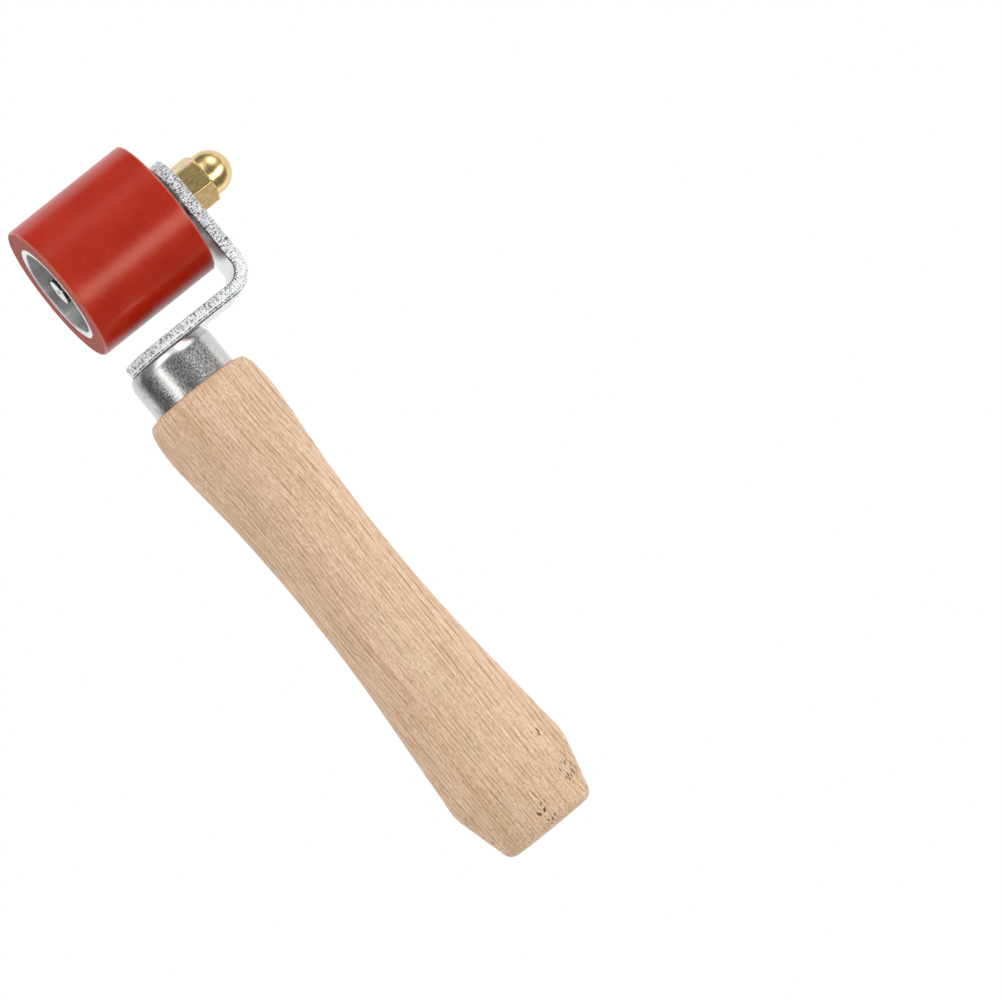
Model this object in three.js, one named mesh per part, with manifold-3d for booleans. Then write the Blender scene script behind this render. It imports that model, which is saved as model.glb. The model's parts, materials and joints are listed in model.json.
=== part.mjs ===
// Hand seam roller: a silicone-sleeved roller on two ball bearings, carried on one side by an
// L-shaped strip bracket, on a turned wooden handle with a drawn metal ferrule.
// Millimetres. +Z runs up the handle to the roller and the axle runs along X. The origin is the
// centre of the handle's flat butt. The axle's free end is at -X, the bracket's upright at +X.
import * as THREE from "three";
import { mergeVertices } from "three/addons/utils/BufferGeometryUtils.js";
import Module from "manifold-3d";

const wasm = await Module();
wasm.setup();

// ---------------------------------------------------------------- driving dimensions
const GAP = 0.02; // between pieces that touch

// handle and the spigot inside its ferrule
const HANDLE_TOP = 126.5; // shoulder the ferrule stands on
const TENON_R = 10.05, TENON_TOP = 136.0, TENON_CHAMFER = 1.6;
const PILOT_R = 2.75, PILOT_DEPTH = 37.5, PILOT_CONE = 2; // hole for the handle screw
const HANDLE_PROFILE = [ // [radius, height above the butt]
  [10.3, 0], [11.2, 0.35], [11.9, 1.3], [13.75, 7.6], [15.45, 13.9], [15.6, 15.0],
  [15.45, 16.8], [15.0, 22.5], [14.35, 30.5], [13.4, 41.5], [12.6, 53.5], [12.2, 65.0],
  [12.15, 75.0], [12.4, 86.0], [12.95, 97.0], [13.6, 105.0], [14.2, 111.5], [14.55, 117.5],
  [14.45, 121.0], [14.05, 123.8], [13.2, 125.6], [12.1, 126.35], [11.3, HANDLE_TOP],
];

// ferrule, a drawn cup with its closed end up
const FERRULE_R = 10.9, FERRULE_WALL = 0.8, FERRULE_TOP = 137.1;
const FERRULE_EDGE_R = 2.0, FERRULE_HOLE_R = 2.8;

// bracket, one flat strip bent to an L with both ends round
const STRIP_T = 3.1, STRIP_HALF = 9.3; // thickness, half width
const BEND_R = 3.4; // inside the bend
const FOOT_Z0 = FERRULE_TOP, FOOT_Z1 = FOOT_Z0 + STRIP_T;
const UPRIGHT_X0 = 23.2, UPRIGHT_X1 = UPRIGHT_X0 + STRIP_T; // faces towards and away from the roller

// handle screw, countersunk
const SCREW_HOLE_R = 2.7, SCREW_SINK_R = 4.75, SCREW_SINK = 1.9; // hole and countersink in the foot
const SCREW_HEAD_R = 4.25, SCREW_SHANK_R = 2.3;
const SCREW_ROOT_R = 1.75, SCREW_CREST_R = 2.45, THREAD_PITCH = 3.1, THREAD_W = 1.1;
const CROSS_W = 1.0, CROSS_L = 4.6; // slots of the cross recess

// roller
const AXLE_Z = 163.0; // height of the roller's axis
const ROLL_X0 = -10.6, ROLL_X1 = 21.2; // ends of the roller
const SLEEVE_R = 17.5, SLEEVE_EDGE = 0.45, CORE_R = 12.5;
const SEAT_DEPTH = 5.0; // from each end of the roller to its bearing
const CORE_BORE_R = 9.6; // between the bearing seats

// axle, its stud at +X and its retaining ring
const AXLE_R = 4.0, AXLE_X0 = -9.9, AXLE_EDGE = 0.2;
const TIP_R = 3.2, TIP_X1 = -7.8; // turned-down free end
const STUD_R = 3.15, STUD_X1 = 35.2, STUD_CHAMFER = 0.7;
const STUD_HOLE_R = STUD_R + 0.1;
const CLIP_T = 0.8, CLIP_GROOVE_R = 3.8, CLIP_PLAY = 0.05;

// deep-groove ball bearing, 8 x 22 x 7
const BEARING_R = 11.0, BEARING_W = 7.0;
const BALLS = 7, BALL_R = 1.95, PITCH_R = (AXLE_R + BEARING_R) / 2;
const RACE_R = 2.06, SHOULDER_OFFSET = 1.45; // groove; each ring's shoulder from the pitch circle
const INNER_SHOULDER = PITCH_R - SHOULDER_OFFSET, OUTER_SHOULDER = PITCH_R + SHOULDER_OFFSET;
const SHIELD_SEAT_R = 9.6, SHIELD_SEAT = 0.7, SHIELD_T = 0.35, SHIELD_INSET = 0.32;
const OUTBOARD_X = ROLL_X0 + SEAT_DEPTH, INBOARD_X = ROLL_X1 - SEAT_DEPTH - BEARING_W; // -X faces
const CLIP_X = OUTBOARD_X - CLIP_T - 0.08; // just clear of the outboard bearing

// dome nut
const NUT_AF = 11.1; // across flats
const NUT_HEX_H = 6.0, NUT_H = 12.7, NUT_DOME_R = 5.22;
const NUT_TURN = 9; // degrees about the axle

const ROLLER_SEGMENTS = 32, AXLE_SEGMENTS = 24, HANDLE_SEGMENTS = 32, SCREW_SEGMENTS = 16;
const BEND_SEGMENTS = 7, STRIP_END_SEGMENTS = 14, CLIP_SEGMENTS = 22;

const FINISHES = {
  silicone: { color: 0xb22e1e, roughness: 0.5, metalness: 0 },
  aluminium: { color: 0xc9cbcd, roughness: 0.32, metalness: 1 },
  bearing: { color: 0xb9bcc0, roughness: 0.22, metalness: 1 },
  zinc: { color: 0xc2c4c4, roughness: 0.38, metalness: 1 },
  brass: { color: 0xc9a24c, roughness: 0.25, metalness: 1 },
  ferrule: { color: 0xb4b2ae, roughness: 0.34, metalness: 1 },
  wood: { color: 0xdcb98f, roughness: 0.62, metalness: 0 },
  steel: { color: 0x9fa2a6, roughness: 0.35, metalness: 1 },
};

// ---------------------------------------------------------------- helpers
const seamRoller = new THREE.Group();
seamRoller.name = "seam_roller";

// Everything on the axle, with its origin on the roller's axis.
const axleLine = new THREE.Group();
axleLine.position.set(0, 0, AXLE_Z);

function add(parent, name, geometry, finish) {
  const mesh = new THREE.Mesh(geometry, new THREE.MeshStandardMaterial(FINISHES[finish]));
  mesh.name = name;
  parent.add(mesh);
  return mesh;
}

// Lathes take [radius, position along the axis] pairs that run outwards, up and back.
function lathe(profile, segments) {
  return new THREE.LatheGeometry(profile.map(([r, h]) => new THREE.Vector2(r, h)), segments);
}
const turnedZ = (profile, segments) => lathe(profile, segments).rotateX(Math.PI / 2);
const turnedX = (profile, segments) => lathe(profile, segments).rotateZ(-Math.PI / 2);
const closed = (profile) => [...profile, profile[0]];

// Points on an arc about [centreX, centreY], angles in degrees.
function arc(centreX, centreY, radius, from, to, steps) {
  return Array.from({ length: steps + 1 }, (_, i) => {
    const angle = THREE.MathUtils.degToRad(from + (to - from) * i / steps);
    return [centreX + radius * Math.cos(angle), centreY + radius * Math.sin(angle)];
  });
}

function extrude(shape, depth, curveSegments) {
  return new THREE.ExtrudeGeometry(shape, { depth, bevelEnabled: false, curveSegments });
}

function solid(geometry) {
  // normals and uvs would keep the seams from merging
  geometry.deleteAttribute("normal");
  geometry.deleteAttribute("uv");
  const merged = mergeVertices(geometry, 1e-4);
  return new wasm.Manifold(new wasm.Mesh({
    numProp: 3,
    vertProperties: new Float32Array(merged.attributes.position.array),
    triVerts: new Uint32Array(merged.index.array),
  }));
}

function geometryOf(manifold) {
  const { vertProperties, triVerts } = manifold.getMesh();
  const geometry = new THREE.BufferGeometry();
  const positions = new Float32Array(vertProperties);
  geometry.setAttribute("position", new THREE.BufferAttribute(positions, 3));
  geometry.setIndex(new THREE.BufferAttribute(new Uint32Array(triVerts), 1));
  geometry.computeVertexNormals();
  return geometry;
}

// ---------------------------------------------------------------- handle and ferrule
function handle() {
  const pilotEnd = TENON_TOP - PILOT_DEPTH;
  return turnedZ([
    [0, 0], ...HANDLE_PROFILE,
    [TENON_R, HANDLE_TOP], [TENON_R, TENON_TOP - TENON_CHAMFER],
    [TENON_R - TENON_CHAMFER, TENON_TOP],
    [PILOT_R, TENON_TOP], [PILOT_R, pilotEnd + PILOT_CONE], [0, pilotEnd],
  ], HANDLE_SEGMENTS);
}

function ferrule() {
  const insideR = FERRULE_R - FERRULE_WALL, insideEdgeR = FERRULE_EDGE_R - FERRULE_WALL;
  const top = FERRULE_TOP - GAP, ceiling = FERRULE_TOP - FERRULE_WALL;
  return turnedZ(closed([
    [insideR, HANDLE_TOP + GAP], [FERRULE_R, HANDLE_TOP + GAP],
    ...arc(FERRULE_R - FERRULE_EDGE_R, top - FERRULE_EDGE_R, FERRULE_EDGE_R, 0, 90, 4),
    [FERRULE_HOLE_R, top], [FERRULE_HOLE_R, ceiling],
    ...arc(insideR - insideEdgeR, ceiling - insideEdgeR, insideEdgeR, 90, 0, 2),
  ]), HANDLE_SEGMENTS);
}

// ---------------------------------------------------------------- bracket
const OVERRUN = 2; // of the bent blank past its trimmed ends
const BLANK_HALF = STRIP_HALF + 4; // half width before trimming
const TRIM_REACH = 60, TRIM_DEPTH = 80; // the trimming solids reach past the blank

// The L as a wide bent blank, its side profile drawn in X and Z.
function bentBlank() {
  const top = AXLE_Z + STRIP_HALF + OVERRUN, footEnd = -STRIP_HALF - OVERRUN;
  const outerR = BEND_R + STRIP_T;
  const outerX = UPRIGHT_X1 - BEND_R - STRIP_T;
  const side = new THREE.Shape();
  side.moveTo(footEnd, FOOT_Z0);
  side.lineTo(outerX, FOOT_Z0);
  side.absarc(outerX, FOOT_Z0 + BEND_R + STRIP_T, outerR, -Math.PI / 2, 0, false);
  side.lineTo(UPRIGHT_X1, top);
  side.lineTo(UPRIGHT_X0, top);
  side.lineTo(UPRIGHT_X0, FOOT_Z1 + BEND_R);
  side.absarc(UPRIGHT_X0 - BEND_R, FOOT_Z1 + BEND_R, BEND_R, 0, -Math.PI / 2, true);
  side.lineTo(footEnd, FOOT_Z1);
  return extrude(side, 2 * BLANK_HALF, BEND_SEGMENTS)
    .rotateX(Math.PI / 2).translate(0, BLANK_HALF, 0);
}

// Outline from above: the strip's width, with a round end about the handle's axis.
function footTrim() {
  const outline = new THREE.Shape();
  outline.moveTo(TRIM_REACH, -STRIP_HALF);
  outline.lineTo(TRIM_REACH, STRIP_HALF);
  outline.lineTo(0, STRIP_HALF);
  outline.absarc(0, 0, STRIP_HALF, Math.PI / 2, 3 * Math.PI / 2, false);
  return extrude(outline, TRIM_DEPTH, STRIP_END_SEGMENTS).translate(0, 0, FOOT_Z0 - 20);
}

// Outline along X: a round top about the axle, and below it wider than the blank.
function uprightTrim() {
  const half = BLANK_HALF + OVERRUN;
  const outline = new THREE.Shape();
  outline.moveTo(half, -TRIM_REACH);
  outline.lineTo(half, 0);
  outline.lineTo(STRIP_HALF, 0);
  outline.absarc(0, 0, STRIP_HALF, 0, Math.PI, false);
  outline.lineTo(-half, 0);
  outline.lineTo(-half, -TRIM_REACH);
  return extrude(outline, TRIM_DEPTH, STRIP_END_SEGMENTS)
    .rotateX(Math.PI / 2).rotateZ(Math.PI / 2).translate(-TRIM_DEPTH / 2, 0, AXLE_Z);
}

function bracket() {
  const screwHole = turnedZ([
    [0, FOOT_Z0 - 3], [SCREW_HOLE_R, FOOT_Z0 - 3], [SCREW_HOLE_R, FOOT_Z1 - SCREW_SINK],
    [SCREW_SINK_R, FOOT_Z1], [SCREW_SINK_R, FOOT_Z1 + 2], [0, FOOT_Z1 + 2],
  ], AXLE_SEGMENTS);
  const studHole = turnedX([
    [0, UPRIGHT_X0 - 3], [STUD_HOLE_R, UPRIGHT_X0 - 3],
    [STUD_HOLE_R, UPRIGHT_X1 + 3], [0, UPRIGHT_X1 + 3],
  ], AXLE_SEGMENTS).translate(0, 0, AXLE_Z);
  return geometryOf(
    solid(bentBlank()).intersect(solid(footTrim())).intersect(solid(uprightTrim()))
      .subtract(solid(screwHole)).subtract(solid(studHole)),
  );
}

// ---------------------------------------------------------------- handle screw
function handleScrew() {
  const top = FOOT_Z1 - 0.12; // just below the foot's upper face
  const tip = TENON_TOP - PILOT_DEPTH + PILOT_CONE + 0.2;
  // separate ridges stand in for the thread, listed from the top down
  const threads = [];
  for (let z = TENON_TOP - 6; z > tip + 5.5; z -= THREAD_PITCH) {
    threads.push(
      [SCREW_ROOT_R, z], [SCREW_CREST_R, z - THREAD_W / 2], [SCREW_ROOT_R, z - THREAD_W],
    );
  }
  const body = turnedZ([
    [0, tip], [0.35, tip + 0.3], [1.7, tip + 4.6],
    ...threads.reverse(),
    [SCREW_ROOT_R, TENON_TOP - 4.6], [SCREW_SHANK_R, TENON_TOP - 4.0],
    [SCREW_SHANK_R, top - SCREW_SINK - 0.1], [SCREW_HEAD_R, top - 0.2],
    [SCREW_HEAD_R, top], [0, top],
  ], SCREW_SEGMENTS);
  const slot = (sizeX, sizeY) => solid(
    new THREE.BoxGeometry(sizeX, sizeY, 3.2).translate(0, 0, top + 0.1),
  );
  const cross = slot(CROSS_L, CROSS_W).add(slot(CROSS_W, CROSS_L));
  return geometryOf(solid(body).subtract(cross));
}

// ---------------------------------------------------------------- axle and retaining ring
function axle() {
  const grooveX0 = CLIP_X - CLIP_PLAY, grooveX1 = CLIP_X + CLIP_T + CLIP_PLAY;
  return turnedX([
    [0, AXLE_X0], [TIP_R - AXLE_EDGE, AXLE_X0], [TIP_R, AXLE_X0 + AXLE_EDGE],
    [TIP_R, TIP_X1], [AXLE_R - AXLE_EDGE, TIP_X1], [AXLE_R, TIP_X1 + AXLE_EDGE],
    [AXLE_R, grooveX0], [CLIP_GROOVE_R, grooveX0], [CLIP_GROOVE_R, grooveX1], [AXLE_R, grooveX1],
    [AXLE_R, UPRIGHT_X0 - GAP], [STUD_R, UPRIGHT_X0 - GAP],
    [STUD_R, STUD_X1 - STUD_CHAMFER], [STUD_R - STUD_CHAMFER, STUD_X1], [0, STUD_X1],
  ], AXLE_SEGMENTS);
}

// Open ring with an ear at each end, its opening facing down.
function retainingRing() {
  const outerR = 5.35, innerR = 3.92, earR = 6.8;
  // angles from the middle of the opening: ring end, ear's far corner, ear's root
  const end = THREE.MathUtils.degToRad(24), earCorner = end + 0.28, earRoot = end + 0.5;
  const endCos = Math.cos(end), endSin = Math.sin(end);
  const cornerX = earR * Math.cos(earCorner), cornerY = earR * Math.sin(earCorner);
  const earY = earR * endSin * 0.96; // ear leans slightly into the opening
  const outline = new THREE.Shape();
  outline.moveTo(innerR * endCos, innerR * endSin);
  outline.lineTo(earR * endCos, earY);
  outline.lineTo(cornerX, cornerY);
  outline.lineTo(outerR * Math.cos(earRoot), outerR * Math.sin(earRoot));
  outline.absarc(0, 0, outerR, earRoot, 2 * Math.PI - end - 0.5, false);
  outline.lineTo(cornerX, -cornerY);
  outline.lineTo(earR * endCos, -earY);
  outline.lineTo(innerR * endCos, -innerR * endSin);
  outline.absarc(0, 0, innerR, 2 * Math.PI - end, end, true);
  return extrude(outline, CLIP_T, CLIP_SEGMENTS).rotateY(Math.PI / 2).translate(CLIP_X, 0, 0);
}

// ---------------------------------------------------------------- roller
// Core with a bearing seat bored in each end.
function rollerCore() {
  const x0 = ROLL_X0 + 0.1, x1 = ROLL_X1 - 0.1; // ends, just inside the sleeve's
  const seatR = BEARING_R + 0.03, edge = 0.25, seatEdge = 0.3;
  const floorX0 = OUTBOARD_X + BEARING_W + GAP, floorX1 = INBOARD_X - GAP;
  return turnedX(closed([
    [CORE_R, x0 + edge], [CORE_R, x1 - edge], [CORE_R - edge, x1], [seatR + seatEdge, x1],
    [seatR, x1 - seatEdge], [seatR, floorX1], [CORE_BORE_R, floorX1],
    [CORE_BORE_R, floorX0], [seatR, floorX0], [seatR, x0 + seatEdge],
    [seatR + seatEdge, x0], [CORE_R - edge, x0],
  ]), ROLLER_SEGMENTS);
}

function siliconeSleeve() {
  const boreR = CORE_R + GAP, boreEdge = 0.2;
  return turnedX(closed([
    [boreR + boreEdge, ROLL_X0], [SLEEVE_R - SLEEVE_EDGE, ROLL_X0],
    [SLEEVE_R, ROLL_X0 + SLEEVE_EDGE], [SLEEVE_R, ROLL_X1 - SLEEVE_EDGE],
    [SLEEVE_R - SLEEVE_EDGE, ROLL_X1], [boreR + boreEdge, ROLL_X1],
    [boreR, ROLL_X1 - boreEdge], [boreR, ROLL_X0 + boreEdge],
  ]), ROLLER_SEGMENTS);
}

// ---------------------------------------------------------------- ball bearings
// Bearing pieces are centred on their own mid-plane.
const HALF_W = BEARING_W / 2;
const LIP_ANGLE = THREE.MathUtils.radToDeg(Math.asin(SHOULDER_OFFSET / RACE_R));
const ballAngle = (i) => 2 * Math.PI * i / BALLS;

// Race groove about the ball circle, cut off at the ring's shoulders.
function groove(from, to) {
  return arc(0, 0, RACE_R, from, to, 3).map(([along, out]) => [PITCH_R + out, along]);
}

function innerRing() {
  const boreR = AXLE_R + GAP, edge = 0.25;
  return turnedX(closed([
    [boreR + edge, -HALF_W], [INNER_SHOULDER, -HALF_W],
    ...groove(180 + LIP_ANGLE, 360 - LIP_ANGLE),
    [INNER_SHOULDER, HALF_W], [boreR + edge, HALF_W],
    [boreR, HALF_W - edge], [boreR, -HALF_W + edge],
  ]), AXLE_SEGMENTS);
}

function outerRing() {
  const edge = 0.3, seatX = HALF_W - SHIELD_SEAT;
  return turnedX(closed([
    [BEARING_R, -HALF_W + edge], [BEARING_R, HALF_W - edge], [BEARING_R - edge, HALF_W],
    [SHIELD_SEAT_R, HALF_W], [SHIELD_SEAT_R, seatX], [OUTER_SHOULDER, seatX],
    ...groove(LIP_ANGLE, 180 - LIP_ANGLE),
    [OUTER_SHOULDER, -seatX], [SHIELD_SEAT_R, -seatX], [SHIELD_SEAT_R, -HALF_W],
    [BEARING_R - edge, -HALF_W],
  ]), ROLLER_SEGMENTS);
}

// Flat ring, clear of the bearing's inner ring.
function shield(x0) {
  const rimR = SHIELD_SEAT_R - 0.03, holeR = INNER_SHOULDER + 0.45, x1 = x0 + SHIELD_T;
  return turnedX(closed([[rimR, x0], [rimR, x1], [holeR, x1], [holeR, x0]]), ROLLER_SEGMENTS);
}

// Ring with one round pocket for each ball.
function cage() {
  const outerR = 7.95, innerR = 7.05, half = 2.5, pocketR = BALL_R + 0.14;
  let body = solid(turnedX(closed([
    [outerR, -half], [outerR, half], [innerR, half], [innerR, -half],
  ]), BALLS * 4));
  for (let i = 0; i < BALLS; i++) {
    const pocket = new THREE.CylinderGeometry(pocketR, pocketR, 3, 10)
      .translate(0, PITCH_R, 0).rotateX(ballAngle(i));
    body = body.subtract(solid(pocket));
  }
  return geometryOf(body);
}

function addBearing(prefix, x0) {
  const middle = x0 + HALF_W;
  const addPiece = (name, geometry, finish) => {
    add(axleLine, `${prefix}_bearing_${name}`, geometry.translate(middle, 0, 0), finish);
  };
  addPiece("inner_ring", innerRing(), "bearing");
  addPiece("outer_ring", outerRing(), "bearing");
  // in both bearings the outer shield is the one at -X
  addPiece("outer_shield", shield(-HALF_W + SHIELD_INSET), "bearing");
  addPiece("inner_shield", shield(HALF_W - SHIELD_INSET - SHIELD_T), "bearing");
  addPiece("cage", cage(), "steel");
  for (let i = 0; i < BALLS; i++) {
    const ball = new THREE.SphereGeometry(BALL_R, 10, 6);
    const angle = ballAngle(i);
    add(axleLine, `${prefix}_bearing_ball_${i + 1}`, ball, "bearing")
      .position.set(middle, PITCH_R * Math.cos(angle), PITCH_R * Math.sin(angle));
  }
}

// ---------------------------------------------------------------- tubes and nut
function axleTube(x0, x1, radius) {
  const edge = 0.25, boreR = AXLE_R + GAP;
  return turnedX(closed([
    [radius - edge, x0], [radius, x0 + edge], [radius, x1 - edge], [radius - edge, x1],
    [boreR, x1], [boreR, x0],
  ]), AXLE_SEGMENTS);
}

// Dome nut on the stud, against the upright's +X face.
function domeNut() {
  const x0 = UPRIGHT_X1 + GAP;
  const cornerR = NUT_AF / 2 / Math.cos(Math.PI / 6), prismH = NUT_HEX_H + 0.5;
  const prism = new THREE.CylinderGeometry(cornerR, cornerR, prismH, 6).rotateZ(-Math.PI / 2)
    .rotateX(THREE.MathUtils.degToRad(NUT_TURN)).translate(prismH / 2, 0, 0);
  // both faces of the hexagon are turned to a cone, so its corners are cut back
  const cone = turnedX([
    [0, 0], [cornerR - 0.2, 0], [cornerR + 0.2, 0.25], [cornerR + 0.2, NUT_HEX_H - 0.55],
    [cornerR - 0.75, NUT_HEX_H], [0, NUT_HEX_H],
  ], AXLE_SEGMENTS);
  const dome = turnedX([
    [0, NUT_HEX_H - 1], [NUT_DOME_R, NUT_HEX_H - 1],
    ...arc(0, NUT_H - NUT_DOME_R, NUT_DOME_R, 0, 90, 6).slice(0, -1), [0, NUT_H],
  ], AXLE_SEGMENTS);
  const boreR = STUD_R + 0.12, studEnd = STUD_X1 - x0;
  const bore = turnedX([
    [0, -1], [boreR, -1], [boreR, studEnd + 0.4], [0, studEnd + 1.6],
  ], AXLE_SEGMENTS);
  return geometryOf(
    solid(prism).intersect(solid(cone)).add(solid(dome)).subtract(solid(bore)),
  ).translate(x0, 0, 0);
}

// ---------------------------------------------------------------- assembly
add(seamRoller, "handle", handle(), "wood");
add(seamRoller, "ferrule", ferrule(), "ferrule");
add(seamRoller, "bracket", bracket(), "zinc");
add(seamRoller, "handle_screw", handleScrew(), "steel");

seamRoller.add(axleLine);
add(axleLine, "axle", axle(), "steel");
add(axleLine, "retaining_ring", retainingRing(), "steel");
add(axleLine, "roller_core", rollerCore(), "aluminium");
add(axleLine, "silicone_sleeve", siliconeSleeve(), "silicone");
addBearing("outboard", OUTBOARD_X);
addBearing("inboard", INBOARD_X);
// between the bearings' inner rings, then between the inboard bearing and the bracket
const spacer = axleTube(OUTBOARD_X + BEARING_W + GAP, INBOARD_X - GAP, 5.6);
add(axleLine, "bearing_spacer", spacer, "aluminium");
const bush = axleTube(INBOARD_X + BEARING_W + GAP, UPRIGHT_X0 - GAP, 5.7);
add(axleLine, "bracket_bush", bush, "steel");
add(axleLine, "dome_nut", domeNut(), "brass");

export default seamRoller;
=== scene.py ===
"""A small hand roller: a red silicone sleeve on a turned core, on an axle held by a bent bracket.

The wooden handle stands on the origin along +Z. The axle runs along X at height AXLE_Z: its plain
end is at low X, the bracket's upright and the brass dome nut are at high X. The camera looks from
the -Y side. Sizes are in millimetres and become metres when a mesh is made.
"""
import bpy, bmesh, math, json
import numpy as np
from mathutils import Matrix, Vector


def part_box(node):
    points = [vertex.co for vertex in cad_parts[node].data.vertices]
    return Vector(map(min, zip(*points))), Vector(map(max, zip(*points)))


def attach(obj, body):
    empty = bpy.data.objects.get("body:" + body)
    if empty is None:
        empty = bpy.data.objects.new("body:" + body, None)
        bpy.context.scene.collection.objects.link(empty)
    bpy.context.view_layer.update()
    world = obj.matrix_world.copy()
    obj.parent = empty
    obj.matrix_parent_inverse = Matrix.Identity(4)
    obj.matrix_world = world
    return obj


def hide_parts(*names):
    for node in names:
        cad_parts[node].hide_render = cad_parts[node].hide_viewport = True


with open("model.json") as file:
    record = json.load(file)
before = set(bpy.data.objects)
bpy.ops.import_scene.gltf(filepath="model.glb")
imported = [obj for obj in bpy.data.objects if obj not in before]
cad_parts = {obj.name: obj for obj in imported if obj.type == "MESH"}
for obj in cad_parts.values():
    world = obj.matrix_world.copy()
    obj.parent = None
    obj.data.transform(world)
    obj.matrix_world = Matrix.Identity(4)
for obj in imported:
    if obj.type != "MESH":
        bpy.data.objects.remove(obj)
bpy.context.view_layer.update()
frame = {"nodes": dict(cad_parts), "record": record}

MM = 0.001
SCENE = bpy.context.scene


# ---------------------------------------------------------------- sizes, mm
def cad(node):
    """Low and high corner of a CAD piece."""
    low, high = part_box(node)
    return np.array(low) * 1000, np.array(high) * 1000


low, high = cad("silicone_sleeve")
ROLL_START, ROLL_END = low[0], high[0]
ROLL_MID = (ROLL_START + ROLL_END) / 2
SLEEVE_R = round((high[1] - low[1]) / 2, 2)
AXLE_Z = round((high[2] + low[2]) / 2, 2)

low, high = cad("bracket")
STRIP_HALF = round((high[1] - low[1]) / 2, 2)      # half the strip's width, and its end radius
FOOT_BOTTOM, UPRIGHT_OUTER = low[2], high[0]
STRIP_T, BEND_R = 3.1, 3.4
FOOT_TOP = FOOT_BOTTOM + STRIP_T
UPRIGHT_INNER = UPRIGHT_OUTER - STRIP_T
FOOT_LENGTH = UPRIGHT_INNER - BEND_R + STRIP_HALF  # along the strip, foot tip to bend
BEND_MID_R = BEND_R + STRIP_T / 2
BEND_END = FOOT_LENGTH + BEND_MID_R * math.pi / 2  # along the strip, foot tip to end of bend

CORE_R, SEAT_R, SEAT_DEPTH, WEB_R = 12.5, 11.0, 5.0, 9.6
BEARING_WIDTH = 7.0
AXLE_START, STUD_END = cad("axle")[0][0], cad("axle")[1][0]
AXLE_R, STUD_R = 4.0, 3.15
END_R, END_STOP = 3.2, -7.8                        # thinner plain end, and the x where it stops
CLIP_START = cad("retaining_ring")[0][0]
HANDLE_TOP, TENON_TOP = 126.5, cad("handle")[1][2]
FERRULE_R, FERRULE_WALL = 10.9, 0.8
NUT_START = UPRIGHT_OUTER + 0.02
NUT_END = cad("dome_nut")[1][0]
HEX_HEIGHT = 6.0
NUT_TURN = 9                                       # degrees from a flat facing +Y


# ---------------------------------------------------------------- mesh helpers
def outward(verts, faces):
    """Faces turned so that the closed mesh's volume is positive."""
    triangles = []
    for face in faces:
        triangles.append((face[0], face[1], face[2]))
        if len(face) == 4:
            triangles.append((face[0], face[2], face[3]))
    a, b, c = (verts[column] for column in np.array(triangles).T)
    volume = np.einsum("ij,ij->i", a, np.cross(b, c)).sum()
    return faces if volume > 0 else [tuple(reversed(face)) for face in faces]


def shade(mesh, sharp):
    """Smooth shading with sharp edges above an angle in degrees."""
    mesh.polygons.foreach_set("use_smooth", np.ones(len(mesh.polygons), bool))
    mesh.set_sharp_from_angle(angle=math.radians(sharp))


def link_object(name, data):
    obj = bpy.data.objects.new(name, data)
    SCENE.collection.objects.link(obj)
    return obj


def make(name, verts, faces, materials, sharp=35.0, face_material=None):
    verts = np.asarray(verts, float)
    faces = [tuple(int(i) for i in face) for face in outward(verts, faces)]
    mesh = bpy.data.meshes.new(name)
    mesh.from_pydata((verts * MM).tolist(), [], faces)
    mesh.validate()
    for material in materials:
        mesh.materials.append(material)
    if face_material is not None:
        mesh.polygons.foreach_set("material_index", np.asarray(face_material, np.int32))
    shade(mesh, sharp)
    mesh.update()
    return link_object(name, mesh)


def fillet(points, segments, closed=False):
    """Polyline of (radius, height, corner radius) points with its corners turned into arcs."""
    out, count = [], len(points)
    for i, (x, y, corner) in enumerate(points):
        here = np.array([x, y], float)
        if corner <= 0 or (not closed and i in (0, count - 1)):
            out.append(here)
            continue
        back = np.array(points[(i - 1) % count][:2], float) - here
        ahead = np.array(points[(i + 1) % count][:2], float) - here
        back_len, ahead_len = np.linalg.norm(back), np.linalg.norm(ahead)
        back, ahead = back / back_len, ahead / ahead_len
        angle = math.acos(max(-1, min(1, back @ ahead)))
        if angle > math.pi - 1e-3:
            out.append(here)
            continue
        reach = min(corner / math.tan(angle / 2), 0.49 * back_len, 0.49 * ahead_len)
        radius = reach * math.tan(angle / 2)
        middle = back + ahead
        centre = here + middle / np.linalg.norm(middle) * (radius / math.sin(angle / 2))
        first, last = here + back * reach - centre, here + ahead * reach - centre
        start = math.atan2(first[1], first[0])
        end = math.atan2(last[1], last[0])
        sweep = (end - start + math.pi) % (2 * math.pi) - math.pi
        for k in range(segments + 1):
            t = start + sweep * k / segments
            out.append(centre + radius * np.array([math.cos(t), math.sin(t)]))
    return np.array(out)


def densify(points, step, closed=False):
    """Extra points on straight runs longer than step."""
    out, count = [], len(points)
    for i in range(count if closed else count - 1):
        a, b = points[i], points[(i + 1) % count]
        parts = max(1, int(math.ceil(np.linalg.norm(b - a) / step)))
        for j in range(parts):
            out.append(a + (b - a) * j / parts)
    if not closed:
        out.append(points[-1])
    return np.array(out)


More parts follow.
